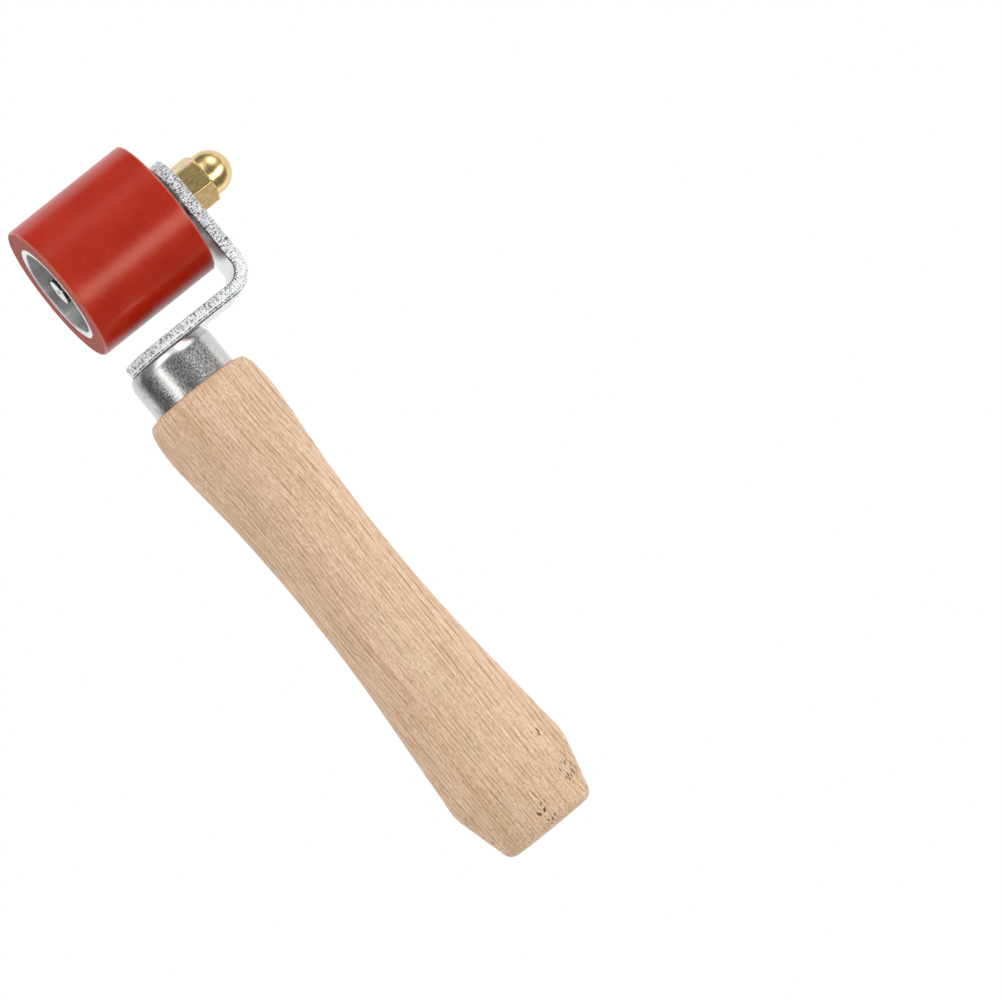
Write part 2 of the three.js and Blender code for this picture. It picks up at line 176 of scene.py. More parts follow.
def lathe(name, profile, count, material, axis="Z", closed=False, wobble=None, sharp=35.0):
    """Revolve (radius, height) points about the handle (Z) or the axle (X).

    Points of an open profile on the axis become poles. wobble(angle, height) adds to the radius.
    """
    profile = np.asarray(profile, float)
    angle = np.arange(count) * 2 * math.pi / count
    rings, index, total = [], np.zeros((len(profile), count), int), 0
    for row, (radius, height) in enumerate(profile):
        if not closed and radius < 1e-6:
            rings.append([[0, 0, height]])
            index[row] = total
        else:
            r = radius + wobble(angle, height) if wobble else radius
            ring = [r * np.cos(angle), r * np.sin(angle), np.full(count, height)]
            rings.append(np.stack(ring, 1))
            index[row] = total + np.arange(count)
        total += len(rings[-1])
    verts = np.concatenate(rings)
    faces = []
    for row in range(len(profile) if closed else len(profile) - 1):
        a, b = index[row], index[(row + 1) % len(profile)]
        for a0, a1, b1, b0 in zip(a, np.roll(a, -1), np.roll(b, -1), b):
            if a0 == a1:
                faces.append((a0, b1, b0))
            elif b0 == b1:
                faces.append((a0, a1, b1))
            else:
                faces.append((a0, a1, b1, b0))
    if axis == "X":
        verts = np.stack([verts[:, 2], verts[:, 0], verts[:, 1] + AXLE_Z], 1)
    return make(name, verts, faces, [material], sharp)


def stand(obj, body, node):
    """Put a finished piece in the place of its CAD node."""
    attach(obj, body)
    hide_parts(node)


def cut(obj, *cutters):
    """Subtract the cutters and delete them."""
    for tool in cutters:
        modifier = obj.modifiers.new("cut", "BOOLEAN")
        modifier.operation = "DIFFERENCE"
        modifier.solver = "EXACT"
        modifier.object = tool
        graph = bpy.context.evaluated_depsgraph_get()
        mesh = bpy.data.meshes.new_from_object(
            obj.evaluated_get(graph), preserve_all_data_layers=True, depsgraph=graph)
        obj.modifiers.clear()
        old = obj.data
        obj.data = mesh
        bpy.data.meshes.remove(old)
        bpy.data.objects.remove(tool)


def value_noise(points, seed):
    """Smooth value noise from -1 to 1 on an (n, 3) array."""
    cell = np.floor(points).astype(np.int64)
    f = points - cell
    f = f * f * (3 - 2 * f)

    def hashed(x, y, z):
        h = (x * 374761393 + y * 668265263 + z * 2147483647 + seed * 1274126177) & 0xFFFFFFFF
        h = ((h ^ (h >> 13)) * 1274126177) & 0xFFFFFFFF
        return ((h ^ (h >> 16)) & 0xFFFFFF) / float(0xFFFFFF)

    total = 0
    for corner in np.ndindex(2, 2, 2):
        wx, wy, wz = (f[:, k] if corner[k] else 1 - f[:, k] for k in range(3))
        total = total + wx * wy * wz * hashed(*(cell + corner).T)
    return total * 2 - 1


# ---------------------------------------------------------------- shader helpers
def operator(kind, swapped=False):
    def apply(self, other):
        pair = (other, self) if swapped else (self, other)
        return self.graph.math(kind, *pair)
    return apply


class Field:
    """A shader value. Each arithmetic operation on it adds one math node to its graph."""
    __add__, __radd__ = operator("ADD"), operator("ADD", swapped=True)
    __sub__, __rsub__ = operator("SUBTRACT"), operator("SUBTRACT", swapped=True)
    __pow__, __rpow__ = operator("POWER"), operator("POWER", swapped=True)
    __mul__, __truediv__ = operator("MULTIPLY"), operator("DIVIDE")
    max = operator("MAXIMUM")

    def __init__(self, graph, socket):
        self.graph, self.socket = graph, socket

    def __abs__(self):
        return self.graph.math("ABSOLUTE", self)

    def remap(self, start, end, to=(0.0, 1.0), **settings):
        """Clamped map of start..end to the pair in to."""
        inputs = {0: self, 1: start, 2: end, 3: to[0], 4: to[1]}
        return self.graph.field("MapRange", inputs, **settings)

    def smoothstep(self, start, end, to=(0.0, 1.0)):
        return self.remap(start, end, to, interpolation_type="SMOOTHSTEP")


class Graph:
    """The emptied node tree of a material or world."""

    def __init__(self, owner):
        owner.use_nodes = True
        self.tree = owner.node_tree
        self.tree.nodes.clear()

    def put(self, socket, value):
        if isinstance(value, Field):
            self.tree.links.new(value.socket, socket)
        else:
            socket.default_value = value

    def node(self, kind, inputs={}, **settings):
        node = self.tree.nodes.new("ShaderNode" + kind)
        for key, value in settings.items():
            setattr(node, key, value)
        for key, value in inputs.items():
            self.put(node.inputs[key], value)
        return node

    def field(self, kind, inputs={}, output=0, **settings):
        return Field(self, self.node(kind, inputs, **settings).outputs[output])

    def math(self, kind, *values):
        return self.field("Math", dict(enumerate(values)), operation=kind)

    def vector_value(self, kind, *vectors):
        """Vector operation that gives one number."""
        return self.field("VectorMath", dict(enumerate(vectors)), "Value", operation=kind)


class Material(Graph):
    def __init__(self, name):
        self.material = bpy.data.materials.new(name)
        super().__init__(self.material)
        self.surface = self.node("BsdfPrincipled")
        self.node("OutputMaterial", {0: Field(self, self.surface.outputs[0])})
        metres = self.field("TexCoord", output="Object")
        # object coordinates in mm
        self.place = self.field("VectorMath", {0: metres, "Scale": 1000.0}, operation="SCALE")
        self.normal = None

    def xyz(self):
        node = self.node("SeparateXYZ", {0: self.place})
        return [Field(self, output) for output in node.outputs]

    def around_axle(self):
        """x, angle and radius about the axle."""
        x, y, z = self.xyz()
        z = z - AXLE_Z
        return x, self.math("ARCTAN2", z, y), self.math("SQRT", y * y + z * z)

    def at(self, where):
        """The place to sample: object coordinates, or three given values."""
        if where is None:
            return self.place
        return self.field("CombineXYZ", dict(enumerate(where)))

    def noise(self, where=None, scale=1.0, detail=3, rough=0.6):
        return self.field("TexNoise", {"Vector": self.at(where), "Scale": scale,
                                       "Detail": detail, "Roughness": rough})

    def cells(self, where=None, scale=1.0):
        """Distance to the nearest of scattered points."""
        return self.field("TexVoronoi", {"Vector": self.at(where), "Scale": scale})

    def ramp(self, amount, *stops, interpolation="LINEAR"):
        """Colours at (position, colour) stops."""
        node = self.node("ValToRGB", {0: amount})
        node.color_ramp.interpolation = interpolation
        elements = node.color_ramp.elements
        while len(elements) < len(stops):
            elements.new(0.5)
        for element, (position, colour) in zip(elements, stops):
            element.position = position
            element.color = (*colour, 1)
        return Field(self, node.outputs[0])

    def mix(self, amount, a, b, mode="MIX"):
        a, b = (q if isinstance(q, Field) else (*q, 1) for q in (a, b))
        return self.field("Mix", {0: amount, 6: a, 7: b}, 2, data_type="RGBA", blend_type=mode)

    def tint(self, colour, by):
        return self.mix(1.0, colour, by, mode="MULTIPLY")

    def layers(self, colour, *layers):
        """Lay (amount, colour) coats over a colour, one after the other."""
        for amount, coat in layers:
            colour = self.mix(amount, colour, coat)
        return colour

    def bump(self, height, strength, depth):
        """Add relief, depth in mm, on top of the relief so far."""
        inputs = {"Strength": strength, "Distance": depth * MM, "Height": height}
        if self.normal is not None:
            inputs["Normal"] = self.normal
        self.normal = self.field("Bump", inputs)

    def done(self, colour, rough, metallic=1.0, specular=0.5):
        values = {"Base Color": colour, "Roughness": rough, "Metallic": metallic,
                  "Specular IOR Level": specular, "Normal": self.normal}
        for key, value in values.items():
            self.put(self.surface.inputs[key], value)
        return self.material


def shaded(colour, factor):
    return tuple(c * factor for c in colour)


# ---------------------------------------------------------------- materials
def silicone_material():
    m = Material("silicone_red")
    x, angle, radius = m.around_axle()
    cloud = m.noise(scale=0.13, rough=0.55)
    mottle = m.noise(scale=1.1, detail=4, rough=0.62)
    fine = m.noise(scale=6.0)
    # rubbed, slightly dusty film that runs round the barrel
    rubbed = m.noise((x * 0.16, angle * 3.0, 0.0), detail=4, rough=0.62)
    speck = m.cells(scale=0.9)
    colour = m.ramp(cloud, (0.30, (0.410, 0.0118, 0.0009)), (0.50, (0.450, 0.0145, 0.0014)),
                    (0.70, (0.480, 0.0190, 0.0028)))
    colour = m.layers(
        colour,
        (mottle.remap(0.48, 0.78, to=(0.0, 0.16)), (0.55, 0.048, 0.020)),
        (rubbed.remap(0.54, 0.82, to=(0.0, 0.12)), (0.56, 0.075, 0.042)),
        (speck.remap(0.0, 0.05, to=(0.08, 0.0)), (0.60, 0.16, 0.10)))
    # dull, dusty end faces, and a painted highlight on the rounded edge where they meet the barrel
    half = (ROLL_END - ROLL_START) / 2
    from_mid = abs(x - ROLL_MID)
    face = (from_mid.remap(half - 0.10, half - 0.02)
            * radius.remap(SLEEVE_R - 0.42, SLEEVE_R - 0.50))
    dust = m.noise((angle * 3.0, radius * 1.6, 0.0), detail=4, rough=0.65)
    dusty = m.mix(dust.remap(0.35, 0.68), (0.36, 0.036, 0.020), (0.44, 0.078, 0.052))
    # painted highlight: a pale line on the rounded edge between end face and barrel
    edge_highlight = (from_mid.remap(half - 0.55, half - 0.12)
           * radius.remap(SLEEVE_R - 0.55, SLEEVE_R - 0.15))
    edge_highlight = edge_highlight * fine.remap(0.35, 0.65, to=(0.35, 0.9))
    colour = m.layers(colour, (face, dusty), (edge_highlight, (0.70, 0.19, 0.135)))
    rough = mottle.remap(0.3, 0.7, to=(0.195, 0.255)) + face * 0.34
    rough = rough + rubbed.remap(0.4, 0.8, to=(0.0, 0.06))
    m.bump(fine, strength=0.10, depth=0.035)
    m.bump(m.noise(scale=0.55, rough=0.5), strength=0.16, depth=0.16)
    # faint grinding marks, round the barrel and on the ends
    m.bump(m.noise((x * 8.0, radius * 8.0, angle * 0.6)), strength=0.10, depth=0.02)
    m.surface.inputs["Specular Tint"].default_value = (1.0, 0.93, 0.78, 1.0)
    material = m.done(colour, rough, metallic=0.0, specular=0.44)
    m.put(m.surface.inputs["Specular IOR Level"], face.remap(0.0, 1.0, to=(0.44, 0.27)))
    return material


def turned_material(name, light, dark, rough, pitch=6.0, strength=0.35, stain=0.25, aniso=0.0,
                    painted_shade_end=False):
    """Metal turned about the axle: concentric tool marks, soft stains, and dark sectors round the
    axle as painted shade for bow-tie reflections.
    """
    m = Material(name)
    x, angle, radius = m.around_axle()
    marks = m.noise((x * pitch, radius * pitch, angle * 0.25))
    blot = m.noise(scale=0.35, detail=4)
    # painted shade: dark sectors round the axle stand in for the bow-tie reflections of turned
    # metal
    bowtie_shade = m.noise((m.math("COSINE", angle) * 1.7, m.math("SINE", angle) * 1.7, radius * 0.35))
    grain = m.noise(scale=4.5, rough=0.7)
    colour = m.mix(marks.remap(0.35, 0.65), dark, light)
    colour = m.layers(
        colour,
        (blot.remap(0.5, 0.75, to=(0, stain)), shaded(dark, 0.55)),
        (bowtie_shade.remap(0.50, 0.38, to=(0.0, 0.40)), shaded(dark, 0.5)))
    if painted_shade_end:
        # painted shade: the side of the axle's thinner end is painted near-black for the shade and
        # dark reflection inside the recess; its end face keeps the bright metal
        start, inner = END_STOP + 0.2, END_R - 0.2
        side = (x.remap(start, start - 0.05)
                * (radius.remap(inner, inner + 0.06) * m.noise(scale=1.3).remap(0.40, 0.44)))
        colour = m.mix(side * grain.remap(0.3, 0.7, to=(1.0, 0.86)), colour,
                       (0.022, 0.020, 0.018))
    m.bump(marks, strength=strength, depth=0.03)
    m.bump(grain, strength=0.12, depth=0.03)
    if aniso:
        inputs = m.surface.inputs
        inputs["Anisotropic"].default_value = aniso
        inputs["Anisotropic Rotation"].default_value = 0.25
        m.put(inputs["Tangent"], m.field("Tangent", direction_type="RADIAL", axis="X"))
    return m.done(colour, (marks * 0.6 + grain * 0.4).remap(0.35, 0.65, to=rough))


def zinc_face_material():
    m = Material("zinc_steel")
    spangle = m.cells(scale=0.9)
    cloud = m.noise(scale=0.25, detail=4)
    fine = m.noise(scale=5.0, detail=4, rough=0.65)
    across = m.field("Attribute", output="Fac", attribute_name="across")
    along = m.field("Attribute", output="Fac", attribute_name="along")
    x, y, z = m.xyz()
    # painted shadow along the foot near its outer face, over the gap above the ferrule
    face_gap_shadow = (abs(across - 0.962).remap(0.033, 0.0365, to=(0.9, 0.0))
                  * along.remap(FOOT_LENGTH - 1.0, FOOT_LENGTH + 2.5, to=(1.0, 0.12)))
    rolled_edge = across.remap(0.0004, 0.01) * across.remap(0.14, 0.16, to=(0.75, 0.0))
    # painted shade on the inner face, behind the roller, darker towards the axle
    roller_shade_height = z + cloud.remap(0.3, 0.7, to=(-2.0, 2.0))
    darkening = (across.remap(0.0006, 0.0003)
             * roller_shade_height.remap(AXLE_Z - 14.0, AXLE_Z - 7.0, to=(0.0, 0.50)))
    colour = m.ramp(cloud, (0.3, (0.74, 0.75, 0.75)), (0.7, (0.88, 0.89, 0.89)))
    colour = m.layers(
        colour,
        (fine.remap(0.54, 0.75, to=(0.0, 0.35)), (0.48, 0.49, 0.49)),
        (face_gap_shadow, (0.03, 0.031, 0.033)),
        (rolled_edge, (0.30, 0.31, 0.32)),
        (darkening, (0.09, 0.09, 0.095)))
    rough = (cloud.remap(0.3, 0.7, to=(0.24, 0.36))
             + spangle.remap(0.2, 0.9, to=(-0.03, 0.06)))
    # rolling marks along the strip, then small dents
    m.bump(m.noise(((x + z) * 0.25, y * 9.0, 0.0)), strength=0.18, depth=0.02)
    m.bump(m.noise(scale=1.1), strength=0.30, depth=0.08)
    m.bump(fine, strength=0.16, depth=0.03)
    return m.done(colour, rough)


def zinc_edge_material():
    """Sheared edge under zinc: torn grain, with painted highlights on the crests and painted shade
    in the crevices.
    """
    m = Material("zinc_sheared_edge")
    _, y, _ = m.xyz()
    across = m.field("Attribute", output="Fac", attribute_name="across")  # 0 inner, 1 outer face
    along = m.field("Attribute", output="Fac", attribute_name="along")    # mm from the foot tip
    coarse = m.noise(scale=2.4, detail=4, rough=0.75)
    fine = m.noise(scale=5.0, rough=0.75)
    drag = m.noise((along * 4.4, across * 3.0, y * 0.4), rough=0.72)
    grain = coarse * 0.16 + (drag * 0.54 + fine * 0.30)
    # the grain is closed in the bend and along the outer band, more open at the upright's tip
    in_bend = (along.remap(FOOT_LENGTH - 3.0, FOOT_LENGTH + 0.5)
               * along.remap(BEND_END + 3.0, BEND_END - 0.5))
    outer_band = (across.remap(0.52, 0.64)
                  * along.remap(BEND_END + 1.0, BEND_END + 5.0, to=(1.0, 0.25)))
    clean = (in_bend * across.remap(0.18, 0.42)).max(outer_band)
    grain = grain + clean * 0.050
    grain = grain - along.remap(BEND_END + 2.0, BEND_END + 8.0) * 0.004
    grain = grain + along.remap(FOOT_LENGTH - 2.0, FOOT_LENGTH - 5.0) * 0.012
    # broken dark line where the fracture ends, near the outer face
    wander = (m.noise((along * 0.35, 0.0, 0.0), detail=2, rough=0.5) - 0.5) * 0.07
    line = abs(across - (0.775 + wander)).remap(0.028, 0.062, to=(1.0, 0.0))
    breaks = m.noise((along * 1.5, across * 1.0, 3.0), rough=0.7).remap(0.44, 0.50)
    fracture = line * breaks * along.remap(FOOT_LENGTH - 0.5, FOOT_LENGTH + 2.0, to=(0.95, 0.30))
    # painted shadow under the burr of the outer face, along the foot over the gap above the
    # ferrule, and painted shade in the pinched inside of the bend
    edge_gap_shadow = (across.remap(0.868, 0.900)
            * along.remap(FOOT_LENGTH - 1.0, FOOT_LENGTH + 2.5, to=(1.0, 0.12)))
    edge_gap_shadow = edge_gap_shadow * m.noise((along * 0.5, 9.0, 0.0), detail=2).remap(0.38, 0.48, to=(0.45, 1.0))
    # painted shade in the inside of the bend and low on the upright's inner edge
    bend_shade = (along.remap(FOOT_LENGTH - 1.0, FOOT_LENGTH + 1.5)
             * along.remap(BEND_END + 15.0, BEND_END + 9.0) * across.remap(0.10, 0.05))
    # painted highlights and shade: the colour runs from near-black to near-white with the noise
    # that also makes the relief
    colour = m.ramp(grain, (0.440, (0.005, 0.006, 0.008)), (0.466, (0.09, 0.097, 0.11)),
                    (0.496, (0.83, 0.87, 0.90)), (0.535, (0.97, 0.99, 1.0)))
    colour = m.layers(
        colour,
        (fracture, (0.012, 0.013, 0.015)),
        (edge_gap_shadow * 0.93, (0.02, 0.021, 0.023)),
        (bend_shade * 0.92, (0.015, 0.016, 0.018)))
    m.bump(coarse, strength=0.60, depth=0.16)
    m.bump(drag, strength=0.45, depth=0.10)
    m.bump(fine, strength=0.5, depth=0.06)
    rough = grain.remap(0.38, 0.60, to=(0.55, 0.22))
    return m.done(colour, rough, metallic=0.14, specular=0.8)


def ferrule_material():
    m = Material("ferrule_steel")
    coarse = m.noise(scale=2.2, detail=4, rough=0.78)
    fine = m.noise(scale=4.2, detail=2, rough=0.7)
    x, y, z = m.xyz()
    draw = m.noise((x * 1.6, y * 1.6, z * 0.22))
    cloud = m.noise(scale=0.4)
    grain = coarse * 0.55 + fine * 0.45
    # painted highlights: a stripe up the cup, its two sides and its rounded top lose the grain and
    # are painted light; side runs from -1 to 1 across the cup as the camera sees it
    side = (x * -0.984 + y * 0.177) / FERRULE_R
    side = side + m.noise(scale=0.55).remap(0.3, 0.7, to=(-0.06, 0.06))
    stripe = abs(side - 0.315).remap(0.07, 0.22, to=(1.0, 0.0))
    edge = abs(side).remap(0.66, 0.82)
    crown = z.remap(FOOT_BOTTOM - 2.7, FOOT_BOTTOM - 1.9)
    painted_highlight = stripe.max(edge).max(crown)
    level = grain + (0.538 - edge * 0.034 - grain) * (painted_highlight * 0.88)
    colour = m.ramp(level, (0.415, (0.065, 0.064, 0.063)), (0.465, (0.34, 0.337, 0.33)),
                    (0.515, (0.70, 0.69, 0.675)), (0.575, (1.0, 0.99, 0.975)))
    colour = m.mix(cloud.remap(0.5, 0.8, to=(0, 0.2)), colour, (0.56, 0.55, 0.53))
    # painted dark reflection bands between the painted highlights
    reflection_shade_a = side.remap(0.52, 0.66) * side.remap(0.90, 0.78)
    reflection_shade_b = side.remap(-0.30, -0.46) * side.remap(-0.84, -0.74)
    colour = m.mix(reflection_shade_a.max(reflection_shade_b), colour, m.tint(colour, by=(0.60, 0.60, 0.595)))
    rough = coarse.remap(0.35, 0.65, to=(0.24, 0.15)) + painted_highlight * -0.02
    # the relief is smoothed under the painted highlights as well
    off_highlight = 1.0 - painted_highlight * 0.85
    m.bump(coarse * off_highlight, strength=0.48, depth=0.10)
    m.bump(fine * off_highlight, strength=0.42, depth=0.06)
    m.bump(draw, strength=0.12, depth=0.06)
    return m.done(colour, rough)


def brass_material():
    m = Material("brass_nut")
    x, angle, radius = m.around_axle()
    _, y, z = m.xyz()
    hex_end = UPRIGHT_OUTER + HEX_HEIGHT
    on_hex = x.remap(hex_end - 0.05, hex_end + 0.15, to=(1.0, 0.0))
    long_lines = m.noise((x * 0.55, y * 5.0, z * 5.0), rough=0.7)
    short_lines = m.noise((x * 2.2, y * 3.4, z * 3.4), rough=0.7)
    turned = m.noise((x * 7.0, radius * 7.0, angle * 0.3))
    cloud = m.noise(scale=0.5)
    tarnish = m.noise(scale=1.6, detail=4, rough=0.7)
    # facet number from the angle past a hexagon corner: each facet gets its own painted brightness
    # and colour for how the light falls on it
    up, corner = z - AXLE_Z, math.radians(30 - NUT_TURN)
    facet_y = y * math.cos(corner) + up * math.sin(corner)
    facet_z = up * math.cos(corner) - y * math.sin(corner)
    facet_angle = m.math("ARCTAN2", facet_z, facet_y) + math.pi
    facet = m.math("FLOOR", facet_angle / (math.pi / 3))
    painted_facet_colours = ((1.0, 0.70, 0.36), (0.92, 0.66, 0.32), (0.72, 0.53, 0.24),
                     (0.96, 0.70, 0.38), (1.0, 0.74, 0.50), (0.74, 0.56, 0.245))
    stops = [(k / 6, colour) for k, colour in enumerate(painted_facet_colours)]
    facet_shading = m.ramp((facet + 0.5) / 6.0, *stops, interpolation="CONSTANT")
    colour = m.ramp(cloud, (0.3, (0.74, 0.520, 0.215)), (0.7, (0.83, 0.625, 0.310)))
    colour = m.layers(
        colour,
        (on_hex * 0.85, facet_shading),
        (on_hex * long_lines.remap(0.50, 0.57, to=(0.0, 0.60)), (0.38, 0.27, 0.075)),
        (on_hex * short_lines.remap(0.54, 0.61, to=(0.0, 0.50)), (0.28, 0.185, 0.05)),
        (tarnish.remap(0.60, 0.8, to=(0.0, 0.35)), (0.46, 0.27, 0.10)))
    m.bump(m.mix(on_hex, turned, long_lines), strength=0.22, depth=0.025)
    m.bump(short_lines * on_hex, strength=0.25, depth=0.03)
    m.bump(m.noise(scale=3.0, rough=0.7), strength=0.10, depth=0.03)
    return m.done(colour, turned.remap(0.3, 0.7, to=(0.14, 0.20)) + on_hex * 0.12)


def steel_material(name, colour, rough):
    m = Material(name)
    x, angle, radius = m.around_axle()
    marks = m.noise((x * 8.0, radius * 8.0, angle * 0.4))
    blot = m.noise(scale=0.6, detail=4, rough=0.65)
    stained = m.mix(blot.remap(0.4, 0.7, to=(0, 0.6)), colour, shaded(colour, 0.62))
    m.bump(marks, strength=0.22, depth=0.02)
    m.bump(m.noise(scale=6.0, detail=2), strength=0.1, depth=0.02)
    return m.done(stained, marks.remap(0.35, 0.65, to=rough))


# patches of open pits near the butt: x, y, z, radius
PIT_PATCHES = (
    (-0.8, -12.4, 2.9, 3.2), (8.4, -12.8, 18.7, 2.6), (9.8, -9.3, 7.6, 4.2),
    (-9.5, 9.0, 8.0, 3.4), (6.0, 13.5, 20.0, 2.6), (-13.0, -4.0, 13.0, 2.4))


def wood_material():
    m = Material("handle_wood")
    x, y, z = m.xyz()
    # the grain runs along the stick and wanders very slowly
    wander = m.noise((0.0, 0.0, z * 0.016), detail=1, rough=0.5)
    drift = m.noise((x * 0.06, y * 0.06, z * 0.03), detail=1, rough=0.5)
    grain_x = x + ((wander - 0.5) * 3.0 + (drift - 0.5) * 1.6)

    def streak(across, along, seed, detail=3, rough=0.6, flat=0.13):
        """Noise drawn out along the stick; flat is its density in y over that in x."""
        where = (m.math("MULTIPLY_ADD", grain_x, across, seed), y * (across * flat), z * along)
        return m.noise(where, detail=detail, rough=rough)

    def vessel_rows(pitch, seed, wander, width, flat):
        """Broken rows of fine open vessels, one row to each yearly ring."""
        shift = streak(across=0.45 / pitch, along=0.012, seed=seed, detail=2, rough=0.5,
                       flat=flat)
        phase = m.math("MULTIPLY_ADD", y, -0.28, grain_x) / pitch + shift * wander
        off_row = abs(m.math("FRACT", phase) - 0.5)
        dash = m.noise((m.math("MULTIPLY_ADD", grain_x, 2.6, seed), y * 0.5, z * 0.16),
                       rough=0.62)
        return off_row.remap(width * 0.35, width, to=(1.0, 0.0)) * dash.remap(0.43, 0.56)

    bands = streak(across=0.42, along=0.010, seed=3.0, rough=0.55)
    tone = streak(across=0.14, along=0.012, seed=11.0, detail=2, rough=0.5)
    lines = streak(across=1.9, along=0.035, seed=23.0, detail=4, rough=0.68)
    fibre = streak(across=6.0, along=0.42, seed=57.0, detail=2, flat=0.6)
    gate = streak(across=0.30, along=0.020, seed=71.0, flat=0.4)
    rings = vessel_rows(pitch=0.98, seed=5.0, wander=1.3, width=0.120, flat=0.10)
    fine_rings = vessel_rows(pitch=0.57, seed=31.0, wander=1.7, width=0.16, flat=0.16)
    dust = m.noise((x * 3.1, y * 3.1, z * 1.1), rough=0.7)
    pores = rings * gate.remap(0.46, 0.60)

    pit = m.cells((grain_x * 1.15, y * 1.15, z * 0.50))
    patches = [m.vector_value("DISTANCE", m.place, centre).remap(radius, radius * 0.55)
               for *centre, radius in PIT_PATCHES]
    patch = patches[0]
    for other in patches[1:]:
        patch = patch.max(other)
    pits = pit.remap(0.24, 0.35, to=(1.0, 0.0)) * patch

    colour = m.ramp(bands, (0.32, (0.715, 0.480, 0.300)), (0.46, (0.815, 0.575, 0.395)),
                    (0.58, (0.880, 0.645, 0.460)), (0.72, (0.800, 0.555, 0.370)))
    darkening = m.noise(scale=0.05)
    colour = m.layers(
        colour,
        (tone.remap(0.40, 0.62, to=(0.0, 0.55)), (0.870, 0.585, 0.425)),
        (tone.remap(0.46, 0.30, to=(0.0, 0.40)), (0.750, 0.555, 0.355)),
        (lines.remap(0.47, 0.36, to=(0.0, 0.45)), (0.975, 0.765, 0.585)),
        (lines.remap(0.535, 0.62, to=(0.0, 0.42)), (0.560, 0.350, 0.195)),
        (fine_rings * 0.50, (0.480, 0.270, 0.125)),
        (rings * 0.86, (0.350, 0.175, 0.070)),
        (dust.remap(0.52, 0.64, to=(0.0, 0.58)), (0.460, 0.280, 0.145)),
        (dust.remap(0.47, 0.35, to=(0.0, 0.46)), (1.0, 0.800, 0.620)),
        (fibre.remap(0.53, 0.70, to=(0.0, 0.55)), (0.420, 0.260, 0.135)),
        (fibre.remap(0.46, 0.31, to=(0.0, 0.40)), (1.0, 0.790, 0.600)),
        (pores * 0.45, (0.200, 0.105, 0.048)),
        (pits * 0.92, (0.028, 0.018, 0.012)),
        (darkening.remap(0.5, 0.75, to=(0.0, 0.18)), (0.52, 0.34, 0.22)))
    # the butt end is handled most and has yellowed
    colour = m.mix(z.remap(50.0, 5.0), m.tint(colour, by=(0.985, 0.968, 0.945)),
                   m.tint(colour, by=(0.975, 0.960, 0.905)))
    m.bump(lines, strength=0.30, depth=0.09)
    m.bump(fibre, strength=0.30, depth=0.05)
    m.bump(1.0 - pores, strength=0.45, depth=0.10)
    m.bump(1.0 - pits, strength=0.6, depth=0.25)
    rough = lines.remap(0.35, 0.65, to=(0.52, 0.70))
    return m.done(colour, rough, metallic=0.0, specular=0.30)


SILICONE = silicone_material()
ALUMINIUM = turned_material(
    "core_aluminium", light=(1.0, 1.0, 0.99), dark=(0.76, 0.765, 0.76), rough=(0.34, 0.52),
    pitch=2.1, strength=0.75, stain=0.35, aniso=0.6)
BEARING = turned_material(
    "bearing_steel", light=(0.70, 0.71, 0.72), dark=(0.56, 0.57, 0.58), rough=(0.12, 0.24),
    pitch=9.0, strength=0.15)
SHIELD = turned_material(
    "bearing_shield_steel", light=(0.66, 0.67, 0.67), dark=(0.42, 0.43, 0.44),
    rough=(0.20, 0.34), strength=0.25, stain=0.3, aniso=0.75)
CLIP = turned_material(
    "retaining_ring_steel", light=(0.14, 0.135, 0.13), dark=(0.075, 0.072, 0.07),
    rough=(0.30, 0.46), strength=0.2, stain=0.3)
CAGE = steel_material("cage_steel", colour=(0.55, 0.54, 0.52), rough=(0.3, 0.45))
STEEL = steel_material("plain_steel", colour=(0.52, 0.53, 0.55), rough=(0.2, 0.42))
AXLE = turned_material(
    "axle_steel", light=(0.93, 0.93, 0.915), dark=(0.66, 0.66, 0.65), rough=(0.22, 0.38),
    pitch=5.0, strength=0.3, stain=0.3, aniso=0.5, painted_shade_end=True)
ZINC_FACE = zinc_face_material()
ZINC_EDGE = zinc_edge_material()
FERRULE = ferrule_material()
BRASS = brass_material()
WOOD = wood_material()

# the CAD pieces get a finished material as well
SLOT_MATERIAL = {
    "silicone_red": SILICONE, "core_aluminium": ALUMINIUM, "bearing_steel": BEARING,
    "cage_steel": CAGE, "plain_steel": STEEL, "zinc_steel": ZINC_FACE,
    "ferrule_steel": FERRULE, "brass_nut": BRASS, "handle_wood": WOOD}
slot_of = {part["node"]: part["material_slot"] for part in frame["record"]["subparts"]}
for node_name, cad_object in frame["nodes"].items():
    cad_object.data.materials.clear()
    cad_object.data.materials.append(SLOT_MATERIAL[slot_of[node_name]])


# ---------------------------------------------------------------- handle
# rounded butt and cone: radius, height, corner radius
BUTT = ((0, 0, 0), (11.62, 0, 2.6), (15.66, 15.2, 14.0), (14.98, 22.5, 0))
# waisted grip: height, radius
GRIP = (
    (22.5, 14.98), (30.5, 14.35), (41.5, 13.42), (53.5, 12.62), (65.0, 12.22), (75.0, 12.17),
    (86.0, 12.42), (97.0, 12.97), (105.0, 13.62), (111.5, 14.22), (117.0, 14.55),
    (120.0, 14.50), (122.3, 14.30))
# shoulder: radius, height, corner radius
SHOULDER = ((14.30, 122.3, 0), (13.95, 124.2, 2.0), (13.2, 126.0, 1.2),
            (11.4, HANDLE_TOP, 0.5), (10.05, HANDLE_TOP, 0))
# tenon and the hole down its middle: radius, height
TENON = ((10.05, 134.4), (8.45, 136.0), (2.75, 136.0), (2.75, 100.5), (0, 98.5))


